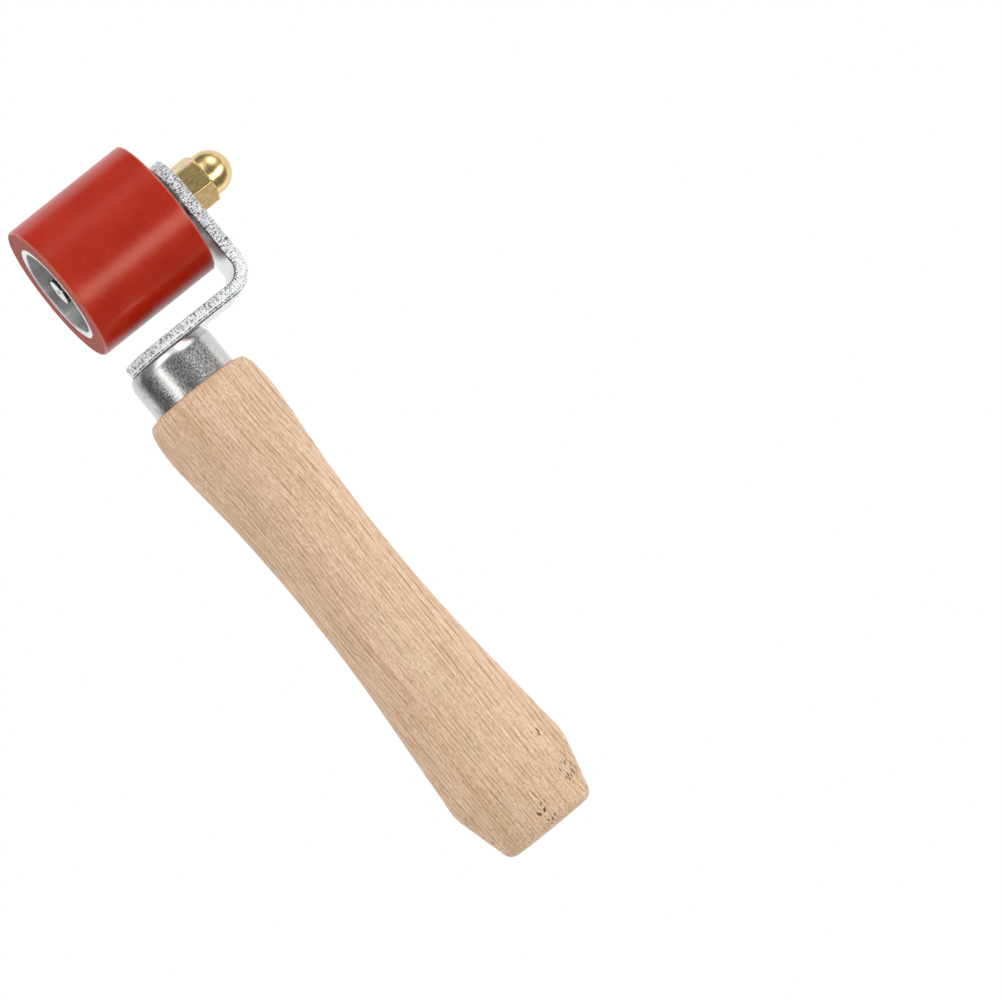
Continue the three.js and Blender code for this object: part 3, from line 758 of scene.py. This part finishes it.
def smooth_profile(stations, step):
    """Cubic curve through (height, radius) stations, as (radius, height) points."""
    h, r = np.array(stations, float).T
    gap = np.diff(h)
    rise = np.diff(r) / gap
    slope = np.zeros(len(h))
    slope[1:-1] = (rise[:-1] * gap[1:] + rise[1:] * gap[:-1]) / (h[2:] - h[:-2])
    slope[0], slope[-1] = rise[0], rise[-1]
    out = []
    for i, length in enumerate(gap):
        parts = max(1, int(math.ceil(length / step)))
        for j in range(parts):
            t = j / parts
            radius = ((2 * t**3 - 3 * t**2 + 1) * r[i]
                      + (t**3 - 2 * t**2 + t) * length * slope[i]
                      + (-2 * t**3 + 3 * t**2) * r[i + 1]
                      + (t**3 - t**2) * length * slope[i + 1])
            out.append([radius, h[i] + length * t])
    out.append([r[-1], h[-1]])
    return np.array(out)


def wood_wobble(angle, height):
    """A stick sanded on a lathe is never quite round."""
    size = 0.05 if 2 < height < 124 else 0.0
    return size * (np.sin(2 * angle + 0.03 * height) * 0.6
                   + np.sin(3 * angle + 1.3 - 0.05 * height) * 0.4)


def build_handle():
    butt = densify(fillet(BUTT, segments=10), step=0.9)
    grip = smooth_profile(GRIP, step=1.0)
    shoulder = densify(fillet(SHOULDER, segments=6), step=0.6)
    profile = np.vstack([butt[:-1], grip[:-1], shoulder, TENON])
    handle = lathe("handle_turned_wood", profile, 192, WOOD, wobble=wood_wobble, sharp=40)
    stand(handle, "handle_frame", "handle")


def build_ferrule():
    """Drawn cup with a rounded top and a slightly rolled lip."""
    lip, top = HANDLE_TOP + 0.02, FOOT_BOTTOM - 0.03
    inside_r, hole_r = 10.12, 2.8
    # radius, height, corner radius
    section = (
        (inside_r, lip, 0.0), (FERRULE_R + 0.06, lip, 0.12), (FERRULE_R + 0.06, lip + 0.55, 0.3),
        (FERRULE_R, lip + 1.0, 0.3), (FERRULE_R, top - 1.75, 3.0), (FERRULE_R - 0.90, top, 0.42),
        (hole_r, top, 0.25), (hole_r, top - FERRULE_WALL, 0.2),
        (inside_r, top - FERRULE_WALL, 1.2))
    profile = densify(fillet(section, segments=8, closed=True), step=0.7, closed=True)
    ferrule = lathe("ferrule_drawn_cup", profile, 192, FERRULE, closed=True)
    stand(ferrule, "handle_frame", "ferrule")


# ---------------------------------------------------------------- bracket
ROLLED_R, BURR_R = 0.42, 0.22   # edge rounding at the strip's inner and outer face
CAP_COLUMNS = 26                # quads across each flat face
SHEAR_STEP = 0.24               # spacing of outline stations along the straight sides


def strip_levels():
    """(depth from the inner face, inset of the outline) through the thickness."""
    burr_start = STRIP_T - BURR_R
    levels = [(0.0, ROLLED_R + 0.25)]
    levels += [(ROLLED_R * (1 - math.cos(t)), ROLLED_R * (1 - math.sin(t)))
               for t in np.linspace(0, math.pi / 2, 6)]
    levels += [(depth, 0.0) for depth in np.linspace(ROLLED_R, burr_start, 14)[1:]]
    levels += [(burr_start + BURR_R * math.sin(t), BURR_R * (1 - math.cos(t)))
               for t in np.linspace(0, math.pi / 2, 4)[1:]]
    levels.append((STRIP_T, BURR_R + 0.25))
    return levels


def torn(u, w, depth, length):
    """The outline at full width, pushed in and out where the shear tore it."""
    place = np.stack([u, w, np.full(len(u), depth * 1.3)], 1)
    rough = (value_noise(place * np.array([1.9, 1.9, 0.9]), seed=3) * 0.55
             + value_noise(place * np.array([4.3, 4.3, 2.5]), seed=5) * 0.45)
    band = 0.35 + 0.65 * min(1.0, max(0.0, (depth - 0.9) / 0.6))
    push = rough * 0.085 * band - 0.03 * band
    past_centre = np.minimum(u - STRIP_HALF, 0) + np.maximum(u - (length - STRIP_HALF), 0)
    return u + past_centre / STRIP_HALF * push, w + w / STRIP_HALF * push


def build_flat_strip():
    """Round-ended strip: (along, width, depth) points, faces and their material numbers."""
    length = BEND_END + (AXLE_Z + STRIP_HALF) - (FOOT_TOP + BEND_R)
    end = np.linspace(0, math.pi / 2, 46)[:-1]
    straight_len = length - 2 * STRIP_HALF
    straight = np.linspace(STRIP_HALF, length - STRIP_HALF, int(straight_len / SHEAR_STEP))
    side_count = 2 * len(end) + len(straight)
    levels = strip_levels()
    verts = []
    for depth, inset in levels:
        r = STRIP_HALF - inset
        u = np.concatenate([STRIP_HALF - r * np.cos(end), straight,
                            length - STRIP_HALF + r * np.cos(end[::-1])])
        w = np.concatenate([r * np.sin(end), np.full(len(straight), r), r * np.sin(end[::-1])])
        # out along the +w side and back along the other, sharing the two tips
        u = np.concatenate([u, u[-2:0:-1]])
        w = np.concatenate([w, -w[-2:0:-1]])
        if inset < 1e-6:
            u, w = torn(u, w, depth, length)
        verts.extend(np.stack([u, w, np.full(len(u), depth)], 1))

    rings = np.arange(len(verts)).reshape(len(levels), -1)
    faces, face_material = [], []
    for i, (a, b) in enumerate(zip(rings[:-1], rings[1:])):
        faces += zip(a, np.roll(a, -1), np.roll(b, -1), b)
        face_material += [1 if 3 <= i <= len(rings) - 3 else 0] * len(a)

    def cap(ring, flip):
        """Flat face: ladders of quads between the two sides."""
        plus = ring[:side_count]
        minus = [ring[0], *ring[side_count:][::-1], plus[-1]]
        rows = []
        for p, q in zip(plus, minus):
            if p == q:
                rows.append([p] * (CAP_COLUMNS + 1))
                continue
            first = len(verts)
            for t in np.linspace(0, 1, CAP_COLUMNS + 1)[1:-1]:
                verts.append(verts[p] + (verts[q] - verts[p]) * t)
            rows.append([p, *range(first, len(verts)), q])
        for row, following in zip(rows[:-1], rows[1:]):
            for j in range(CAP_COLUMNS):
                quad = (row[j], row[j + 1], following[j + 1], following[j])
                face = tuple(dict.fromkeys(quad))
                if len(face) >= 3:
                    faces.append(face[::-1] if flip else face)
                    face_material.append(0)

    cap(rings[0], flip=True)
    cap(rings[-1], flip=False)
    return np.array(verts), faces, face_material


def build_bracket():
    """Strip with round ends and sheared edges, bent from the foot into the upright."""
    flat, faces, face_material = build_flat_strip()
    along, width, depth = flat.T
    on_foot, before_upright = along <= FOOT_LENGTH, along < BEND_END
    angle = (along - FOOT_LENGTH) / BEND_MID_R
    bend_x, bend_z = UPRIGHT_INNER - BEND_R, FOOT_TOP + BEND_R
    x = np.select([on_foot, before_upright],
                  [along - STRIP_HALF, bend_x + (BEND_R + depth) * np.sin(angle)],
                  UPRIGHT_INNER + depth)
    z = np.select([on_foot, before_upright],
                  [FOOT_TOP - depth, bend_z - (BEND_R + depth) * np.cos(angle)],
                  bend_z + (along - BEND_END))
    # the strip bulges a little at the inside of the bend and narrows at the outside
    bend_len = BEND_END - FOOT_LENGTH
    in_bend = np.exp(-((along - FOOT_LENGTH - bend_len / 2) / (bend_len * 0.45)) ** 2)
    y = width * (1 + in_bend * (0.5 - depth / STRIP_T) * 0.016)
    bracket = make("bracket_bent_strip", np.stack([x, y, z], 1), faces, [ZINC_FACE, ZINC_EDGE],
                   sharp=50, face_material=face_material)
    for name, values in (("across", depth / STRIP_T), ("along", along)):
        attribute = bracket.data.attributes.new(name, "FLOAT", "POINT")
        attribute.data.foreach_set("value", values.astype(np.float32))

    # countersunk hole in the foot and the stud's hole in the upright: radius, height
    sink = [[0, FOOT_BOTTOM - 2], [2.7, FOOT_BOTTOM - 2], [2.7, FOOT_TOP - 1.9],
            [4.75, FOOT_TOP - 0.02], [4.9, FOOT_TOP + 1], [0, FOOT_TOP + 1]]
    hole_r = 3.25
    hole = [[0, UPRIGHT_INNER - 2], [hole_r, UPRIGHT_INNER - 2],
            [hole_r, UPRIGHT_OUTER + 2], [0, UPRIGHT_OUTER + 2]]
    cut(bracket, lathe("tmp_sink", sink, 64, ZINC_FACE),
        lathe("tmp_stud", hole, 64, ZINC_FACE, axis="X"))
    bracket.data.name = "bracket_bent_strip"
    bracket.data.set_sharp_from_angle(angle=math.radians(50))
    stand(bracket, "handle_frame", "bracket")


# ---------------------------------------------------------------- handle screw
def cross_wing(turn, top):
    """Tapered bar that cuts one slot of the cross recess; turn in degrees."""
    half_length, half_width = 2.35, 0.48
    bm = bmesh.new()
    verts = []
    rotation = Matrix.Rotation(math.radians(turn), 4, "Z")
    for z, taper in ((0.6, 1.0), (-1.7, 0.5)):
        for side_x, side_y in ((-1, -1), (1, -1), (1, 1), (-1, 1)):
            x = side_x * half_length * taper
            y = side_y * half_width * (0.5 + 0.5 * taper)
            q = rotation @ Vector((x, y, z))
            verts.append(bm.verts.new((q.x * MM, q.y * MM, (top + q.z) * MM)))
    for face in ((0, 1, 2, 3), (7, 6, 5, 4), (0, 4, 5, 1), (1, 5, 6, 2), (2, 6, 7, 3),
                 (3, 7, 4, 0)):
        bm.faces.new([verts[i] for i in face])
    bmesh.ops.recalc_face_normals(bm, faces=bm.faces)
    mesh = bpy.data.meshes.new("tmp")
    bm.to_mesh(mesh)
    bm.free()
    return link_object("tmp_cross", mesh)


def build_screw():
    """Flat head with a cross recess, threaded shank pointing down into the handle."""
    top = FOOT_TOP - 0.10
    tip = TENON_TOP - 35.3
    root_r, crest_r, shank_r, head_r, pitch = 1.72, 2.42, 2.3, 4.5, 2.1
    # radius, height, corner radius
    section = [[0, tip, 0], [0.3, tip + 0.25, 0.1], [1.65, tip + 4.8, 0]]
    z = tip + 6.2
    while z < TENON_TOP - 6.5:
        section += [[root_r, z, 0.12], [crest_r, z + 0.75, 0.06], [root_r, z + 1.5, 0.12]]
        z += pitch
    section += [
        [1.75, TENON_TOP - 4.6, 0.2], [shank_r, TENON_TOP - 4.0, 0.2],
        [shank_r, top - 2.0, 0.2], [head_r, top - 0.28, 0.12], [head_r, top, 0.12], [0, top, 0]]
    screw = lathe("handle_screw_flat_head", fillet(section, segments=3), 72, STEEL)
    for turn in (33, 123):
        cut(screw, cross_wing(turn, top))
    screw.data.set_sharp_from_angle(angle=math.radians(35))
    stand(screw, "handle_frame", "handle_screw")


# ---------------------------------------------------------------- roller
def build_sleeve():
    start, end = ROLL_START, ROLL_END
    # radius, x, corner radius
    section = (
        (CORE_R + 0.02, start + 0.25, 0), (CORE_R + 0.25, start, 0.12), (SLEEVE_R, start, 0.5),
        (SLEEVE_R, end, 0.5), (CORE_R + 0.25, end, 0.12), (CORE_R + 0.02, end - 0.25, 0))
    profile = densify(fillet(section, segments=7, closed=True), step=1.0, closed=True)
    sleeve = lathe("silicone_sleeve_moulded", profile, 224, SILICONE, axis="X", closed=True)
    stand(sleeve, "roller", "silicone_sleeve")


def with_tool_marks(points, depth, pitch):
    """Fine concentric marks on the faces square to the axle."""
    out = []
    for i, a in enumerate(points):
        b = points[(i + 1) % len(points)]
        out.append(a)
        if abs(a[1] - b[1]) < 1e-6 and abs(a[0] - b[0]) > 0.5:
            inward = 1 if a[1] < ROLL_MID else -1
            count = int(abs(a[0] - b[0]) / pitch)
            for j in range(1, count):
                radius = a[0] + (b[0] - a[0]) * (j / count)
                out.append(np.array([radius, a[1] + inward * depth * (j % 2)]))
    return np.array(out)


def build_core():
    start, end, seat = ROLL_START + 0.06, ROLL_END - 0.06, SEAT_R + 0.03
    web_start = ROLL_START + SEAT_DEPTH + BEARING_WIDTH + 0.02
    web_end = ROLL_END - SEAT_DEPTH - BEARING_WIDTH - 0.02
    # radius, x, corner radius
    section = (
        (CORE_R, start, 0.12), (CORE_R, end, 0.12), (seat + 0.28, end, 0.05),
        (seat, end - 0.3, 0.08), (seat, web_end, 0.15), (WEB_R, web_end, 0.2),
        (WEB_R, web_start, 0.2), (seat, web_start, 0.15), (seat, start + 0.3, 0.08),
        (seat + 0.28, start, 0.05))
    profile = densify(fillet(section, segments=4, closed=True), step=1.2, closed=True)
    profile = with_tool_marks(profile, depth=0.02, pitch=0.12)
    core = lathe("roller_core_turned", profile, 224, ALUMINIUM, axis="X", closed=True)
    stand(core, "roller", "roller_core")


# ---------------------------------------------------------------- bearings
BALL_CIRCLE_R, RACE_R = 7.5, 2.06
# half sections up to the race groove: radius, distance in from the ring's end face
INNER_RING = ((4.02, 0.3), (4.06, 0.12), (4.18, 0.02), (4.3, 0), (5.9, 0), (6.0, 0.04),
              (6.05, 0.14))
OUTER_RING = ((11.0, 0.45), (10.96, 0.22), (10.82, 0.06), (10.6, 0), (9.75, 0), (9.63, 0.05),
              (9.6, 0.15), (9.6, 0.7), (8.95, 0.7))
# pressed shield with curled outer lip: radius, distance in from the ring's end face
SHIELD_SECTION = np.array([
    [9.56, 0.62], [9.57, 0.36], [9.50, 0.26], [9.30, 0.24], [8.6, 0.26], [8.3, 0.40],
    [7.1, 0.42], [6.85, 0.36], [6.52, 0.34], [6.52, 0.52], [6.80, 0.54], [7.08, 0.60],
    [8.35, 0.58], [8.7, 0.46], [9.28, 0.44], [9.36, 0.50], [9.37, 0.62]])


def ring_section(half_section):
    """Half section, race groove and mirrored half section, about the ring's middle."""
    half = np.array(half_section) - [0, BEARING_WIDTH / 2]
    shoulder = half[-1, 0] - BALL_CIRCLE_R
    side = math.copysign(1, shoulder)
    reach = math.pi / 2 - math.asin(abs(shoulder) / RACE_R)
    groove = [[BALL_CIRCLE_R + side * RACE_R * math.cos(t), RACE_R * math.sin(t)]
              for t in np.linspace(-reach, reach, 15)]
    return np.vstack([half, groove, half[::-1] * [1, -1]])


def build_bearing(prefix, start):
    middle, half_width = start + BEARING_WIDTH / 2, BEARING_WIDTH / 2
    inner = lathe(prefix + "_inner_ring_ground", ring_section(INNER_RING) + [0, middle], 128,
                  BEARING, axis="X", closed=True)
    stand(inner, "handle_frame", prefix + "_bearing_inner_ring")
    # the outer ring's section starts one point back, on its rim
    outer_section = np.roll(ring_section(OUTER_RING), 1, axis=0) + [0, middle]
    outer = lathe(prefix + "_outer_ring_ground", outer_section, 160, BEARING, axis="X",
                  closed=True)
    stand(outer, "roller", prefix + "_bearing_outer_ring")
    for side, sign in (("outer", -1), ("inner", 1)):
        section = SHIELD_SECTION.copy()
        section[:, 1] = middle + sign * (half_width - section[:, 1])
        shield = lathe(f"{prefix}_{side}_shield_pressed", section, 128, SHIELD, axis="X",
                       closed=True)
        stand(shield, "roller", f"{prefix}_bearing_{side}_shield")


# ---------------------------------------------------------------- axle, retaining ring, tubes
def build_axle():
    groove_r, groove_start, groove_end = 3.8, CLIP_START - 0.05, CLIP_START + 0.85
    stud_start = UPRIGHT_INNER - 0.02
    # radius, x, corner radius
    section = [
        [0, AXLE_START + 0.30, 0], [0.55, AXLE_START + 0.30, 0.1], [0.9, AXLE_START, 0.08],
        [END_R, AXLE_START, 0.14], [END_R, END_STOP, 0.2], [AXLE_R, END_STOP, 0.15],
        [AXLE_R, groove_start, 0.05], [groove_r, groove_start, 0.05],
        [groove_r, groove_end, 0.05], [AXLE_R, groove_end, 0.05], [AXLE_R, stud_start, 0.1],
        [STUD_R, stud_start, 0]]
    thread_pitch = 1.2
    x = UPRIGHT_OUTER + 0.5
    while x < STUD_END - 1.2:
        section += [[STUD_R, x, 0.05], [STUD_R - 0.45, x + thread_pitch / 2, 0.08]]
        x += thread_pitch
    section += [[STUD_R, STUD_END - 0.9, 0.05], [STUD_R - 0.7, STUD_END, 0.1], [0, STUD_END, 0]]
    profile = densify(fillet(section, segments=4), step=1.5)
    axle = lathe("axle_turned", profile, 128, AXLE, axis="X")
    stand(axle, "handle_frame", "axle")


def arc(radius, start, end, count, centre=(0, 0)):
    return [(centre[0] + radius * math.cos(t), centre[1] + radius * math.sin(t))
            for t in np.linspace(start, end, count)]


def build_retaining_ring():
    """External ring open towards +Y, with two lugs that each have a plier hole."""
    inner_r, outer_r, thickness = 3.86, 5.3, 0.78
    gap = math.radians(22)                          # half the opening
    lug_angle, lug_distance, lug_r, hole_r = gap + 0.20, 5.35, 1.05, 0.55
    lug = (lug_distance * math.cos(lug_angle), lug_distance * math.sin(lug_angle))
    neck_r, neck_end, flare_angle = outer_r - 0.35, lug_angle + 0.62, 0.9

    # outline of the +Z side, in (y, z) about the axle
    side = [(inner_r * math.cos(gap), inner_r * math.sin(gap))]
    side += arc(lug_r, lug_angle - math.pi / 2 - 0.15, lug_angle + math.pi / 2 + 0.2, 22, lug)
    side += arc(neck_r, lug_angle + 0.33, neck_end, 6)
    for t in np.linspace(0, math.pi, 8)[1:]:
        radius = neck_r + 0.5 * (1 - math.cos(t))
        angle = neck_end + flare_angle * t / math.pi
        side.append((radius * math.cos(angle), radius * math.sin(angle)))
    back_start = neck_end + flare_angle
    back = arc(outer_r + 0.15, back_start, 2 * math.pi - back_start, 70)[1:-1]
    inside = arc(inner_r, 2 * math.pi - gap, gap, 120)[1:-1]
    outline = side + back + [(y, -z) for y, z in reversed(side)] + inside
    holes = [arc(hole_r, 0, 2 * math.pi, 21, (lug[0], z))[:-1] for z in (lug[1], -lug[1])]

    bm = bmesh.new()
    edges = []
    for loop in (outline, *holes):
        verts = [bm.verts.new((0, y, z)) for y, z in loop]
        edges += [bm.edges.new((verts[i], verts[(i + 1) % len(verts)]))
                  for i in range(len(verts))]
    bmesh.ops.triangle_fill(bm, use_beauty=True, use_dissolve=False, edges=edges)
    extruded = bmesh.ops.extrude_face_region(bm, geom=list(bm.faces))["geom"]
    moved = [item for item in extruded if isinstance(item, bmesh.types.BMVert)]
    bmesh.ops.translate(bm, vec=(thickness, 0, 0), verts=moved)
    bmesh.ops.recalc_face_normals(bm, faces=bm.faces)
    sharp = [e for e in bm.edges if len(e.link_faces) == 2 and e.calc_face_angle(0) > 1.2]
    bmesh.ops.bevel(bm, geom=sharp, offset=0.06, segments=2, affect="EDGES", profile=0.5)
    for vert in bm.verts:
        x, y, z = vert.co
        vert.co = Vector(((x + CLIP_START + 0.01) * MM, y * MM, (z + AXLE_Z) * MM))
    mesh = bpy.data.meshes.new("retaining_ring_stamped")
    bm.to_mesh(mesh)
    bm.free()
    mesh.materials.append(CLIP)
    shade(mesh, sharp=30)
    ring = link_object("retaining_ring_stamped", mesh)
    stand(ring, "handle_frame", "retaining_ring")


def build_tube(name, node, radius, material):
    """Plain tube on the axle, as long as its CAD piece."""
    bore_r = AXLE_R + 0.02
    low, high = cad(node)
    start, end = low[0], high[0]
    # radius, x, corner radius
    section = ((bore_r, start, 0.15), (radius, start, 0.25), (radius, end, 0.25),
               (bore_r, end, 0.15))
    profile = densify(fillet(section, segments=4, closed=True), step=1.0, closed=True)
    tube = lathe(name, profile, 128, material, axis="X", closed=True)
    stand(tube, "handle_frame", node)


# ---------------------------------------------------------------- dome nut
def build_dome_nut():
    """Hexagon with chamfered ends and a ball end, with a blind bore. Heights are from its foot."""
    flats, dome_r, chamfer_slope, count = 11.1, 5.22, 1.75, 432
    height = NUT_END - UPRIGHT_OUTER - 0.02
    corner_r = flats / 2 / math.cos(math.pi / 6)
    bore_r, stud_end = STUD_R + 0.12, STUD_END - NUT_START
    angle = np.arange(count) * 2 * math.pi / count

    # hexagon radius with slightly softened corners
    turned = angle + math.radians(NUT_TURN)
    walls = np.stack([np.cos(turned - k * math.pi / 3) for k in range(6)], 0) / (flats / 2)
    corner_power, chamfer_power = 60.0, 40.0
    hexagon = 1.0 / (np.sum(np.maximum(walls, 0) ** corner_power, 0) ** (1.0 / corner_power))

    # rings of (radius, height), from the bottom of the bore out and up to the dome
    rows = [(bore_r, stud_end + 0.3)]
    rows += [(bore_r, x) for x in np.linspace(stud_end, 0.4, 12)]
    rows += [(bore_r + 0.4, 0.0), (flats / 2 - 0.25, 0.0)]
    chamfer_zone = 0.9
    upper_zone = HEX_HEIGHT - chamfer_zone
    stations = [*np.linspace(0, chamfer_zone, 16), *np.linspace(chamfer_zone, upper_zone, 12)[1:],
                *np.linspace(upper_zone, HEX_HEIGHT, 16)[1:]]
    for x in stations:
        limit = min(corner_r - 0.16 + x * chamfer_slope,
                    corner_r - 0.78 + (HEX_HEIGHT - x) * chamfer_slope, corner_r + 1)
        softened = 1.0 / ((hexagon ** -chamfer_power + limit ** -chamfer_power)
                          ** (1 / chamfer_power))
        softened = 1.0 / softened ** 1 if False else softened
        rows.append((np.minimum(softened, hexagon), x))
    # face of the hexagon in to the dome's foot, with a small turned fillet
    foot_fillet = 0.26
    rows.append((dome_r + 0.36, HEX_HEIGHT))
    for t in np.linspace(0.0, 1.0, 5)[1:] * math.pi / 2:
        rows.append((dome_r + foot_fillet * (1 - math.sin(t)),
                     HEX_HEIGHT + foot_fillet * (1 - math.cos(t))))
    # short cylinder, then a ball end
    cylinder = height - dome_r - HEX_HEIGHT
    rows.append((dome_r, HEX_HEIGHT + max(cylinder, 0.3)))
    for t in np.linspace(0, math.pi / 2, 40)[1:-1]:
        rows.append((dome_r * math.cos(t), HEX_HEIGHT + cylinder + dome_r * math.sin(t)))

    rings = [np.stack([np.full(count, x), r * np.cos(angle), r * np.sin(angle)], 1)
             for r, x in rows]
    verts = np.concatenate([[[stud_end + 1.3, 0, 0]], *rings, [[height, 0, 0]]])
    index = 1 + np.arange(len(rows) * count).reshape(len(rows), count)
    following = np.roll(index, -1, axis=1)
    faces = [(0, a, b) for a, b in zip(index[0], following[0])]
    for i in range(len(rows) - 1):
        faces += zip(index[i], index[i + 1], following[i + 1], following[i])
    faces += [(len(verts) - 1, b, a) for a, b in zip(index[-1], following[-1])]
    nut = make("dome_nut_brass", verts + np.array([NUT_START, 0, AXLE_Z]), faces, [BRASS],
               sharp=28)
    stand(nut, "handle_frame", "dome_nut")


build_handle()
build_ferrule()
build_bracket()
build_screw()
build_sleeve()
build_core()
build_bearing("outboard", ROLL_START + SEAT_DEPTH)
build_bearing("inboard", ROLL_END - SEAT_DEPTH - BEARING_WIDTH)
build_axle()
build_retaining_ring()
build_tube("bracket_bush_turned", "bracket_bush", 5.7, AXLE)
build_tube("bearing_spacer_turned", "bearing_spacer", 5.6, ALUMINIUM)
build_dome_nut()


# ---------------------------------------------------------------- camera
CAMERA_TILT = (-2.4, -10.2, -39.25)    # degrees about camera right, handle and view direction
# roller centre as the camera has it: right, down and ahead, mm
ROLLER_FROM_CAMERA = np.array([-87.483146, -56.067416, 4494.382022])


def rotation(axis, degrees):
    """Turn about axis 0, 1 or 2."""
    c, s = math.cos(math.radians(degrees)), math.sin(math.radians(degrees))
    i, j = (axis + 1) % 3, (axis + 2) % 3
    matrix = np.eye(3)
    matrix[i, i] = matrix[j, j] = c
    matrix[i, j], matrix[j, i] = -s, s
    return matrix


def build_camera():
    """Make the camera and return its right, up and back directions as columns."""
    tilt_x, tilt_y, tilt_z = CAMERA_TILT
    level = np.array([[1, 0, 0], [0, 0, -1], [0, 1, 0]], float)    # world to right, down, ahead
    view = rotation(2, tilt_z) @ rotation(0, tilt_x) @ rotation(1, tilt_y) @ level
    place = np.array([ROLL_MID, 0, AXLE_Z]) - view.T @ ROLLER_FROM_CAMERA
    axes = view.T @ np.diag([1, -1, -1])
    data = bpy.data.cameras.new("cam")
    camera = link_object("cam", data)
    world = np.eye(4)
    world[:3, :3] = axes
    world[:3, 3] = place * MM
    camera.matrix_world = Matrix(world.tolist())
    data.sensor_width = 36
    data.lens = 719.28072
    data.clip_start, data.clip_end = 0.1, 50
    SCENE.camera = camera
    return axes


# ---------------------------------------------------------------- studio
# soft boxes: direction of the centre, direction of the first half width,
# the two half widths as sines, strength
SOFT_BOXES = (
    ((-0.72, -0.70, 0.06), (0, 0, 1), 0.55, 0.19, 1.20),          # tall, at low X
    ((0.68, -0.73, 0.0), (0, 0, 1), 0.45, 0.22, 0.05),            # tall and weak, at high X
    ((0.50, -0.75, -0.43), (1, 0, 0), 0.46, 0.18, 7.9),           # long and low, at high X
    ((-0.30, -0.52, 0.80), (1, 0, 0), 0.36, 0.19, 1.7),           # above, at low X
    ((0.62, -0.50, 0.60), (0.774, 0, -0.633), 0.33, 0.31, 3.2),   # above, at high X
    ((0.30, 0.32, -0.90), (1, 0, 0), 0.45, 0.22, 0.85))           # low, on the +Y side
FRONT_LIGHT, BACK_LIGHT = 0.225, 0.98      # surround on the camera's side and beyond the tool


def build_world(camera_axes):
    """White surround: shiny surfaces see soft boxes, matt ones an even tent."""
    right, up, back = [Vector(axis) for axis in camera_axes.T]
    world = bpy.data.worlds.new("studio")
    SCENE.world = world
    g = Graph(world)
    world.cycles.sampling_method = "NONE"
    direction = g.field("TexCoord", output="Generated")

    def facing(vector):
        return g.vector_value("DOT_PRODUCT", direction, tuple(vector))

    def soft_box(centre, wide, half_width, half_height):
        centre, wide = Vector(centre).normalized(), Vector(wide).normalized()
        wide = (wide - centre * wide.dot(centre)).normalized()
        x = facing(wide) / half_width
        y = facing(centre.cross(wide)) / half_height
        square = abs(x) ** 2.0 + abs(y) ** 2.0
        return 2.718 ** (square * -1.0) * facing(centre).smoothstep(0.0, 0.25)

    height = facing((0, 0, 1))
    behind = facing(back) + facing((1, 0, 0)) * -0.06 + height * height * 0.35
    shiny = (behind.smoothstep(-0.05, -0.30) * (BACK_LIGHT - FRONT_LIGHT)) + FRONT_LIGHT
    for *box, strength in SOFT_BOXES:
        shiny = shiny + soft_box(*box) * strength
    matt = facing(up) * 0.30 + (facing(right) * 0.02 + 0.935)

    rays = g.node("LightPath")

    def choose(ray, otherwise, value):
        amount = Field(g, rays.outputs[ray])
        return g.field("Mix", {0: amount, 2: otherwise, 3: value}, data_type="FLOAT")

    lit = choose("Is Diffuse Ray", shiny, matt)
    seen = choose("Is Camera Ray", lit, 1.0)
    background = g.field("Background", {0: (1, 1, 1, 1), 1: seen})
    g.node("OutputWorld", {0: background})


def build_floor():
    """Pale floor seen only by the camera from above, fading out from the middle."""
    material = bpy.data.materials.new("pale_floor")
    g = Graph(material)
    distance = g.vector_value("LENGTH", g.field("TexCoord", output="Object"))
    fade = distance.smoothstep(0.10, 0.42, to=(1.0, 0.0))
    from_above = 1.0 - g.field("NewGeometry", output="Backfacing")
    visible = g.field("LightPath", output="Is Camera Ray") * from_above * fade
    pale = g.field("BsdfDiffuse", {0: (0.80, 0.80, 0.79, 1)})
    clear = g.field("BsdfTransparent")
    g.node("OutputMaterial", {0: g.field("MixShader", {0: visible, 1: clear, 2: pale})})
    mesh = bpy.data.meshes.new("floor")
    mesh.from_pydata([(-1, -1, 0), (1, -1, 0), (1, 1, 0), (-1, 1, 0)], [], [(0, 1, 2, 3)])
    floor = link_object("floor", mesh)
    mesh.materials.append(material)


build_world(build_camera())
build_floor()
SCENE.view_settings.view_transform = "Standard"
SCENE.view_settings.look = "None"
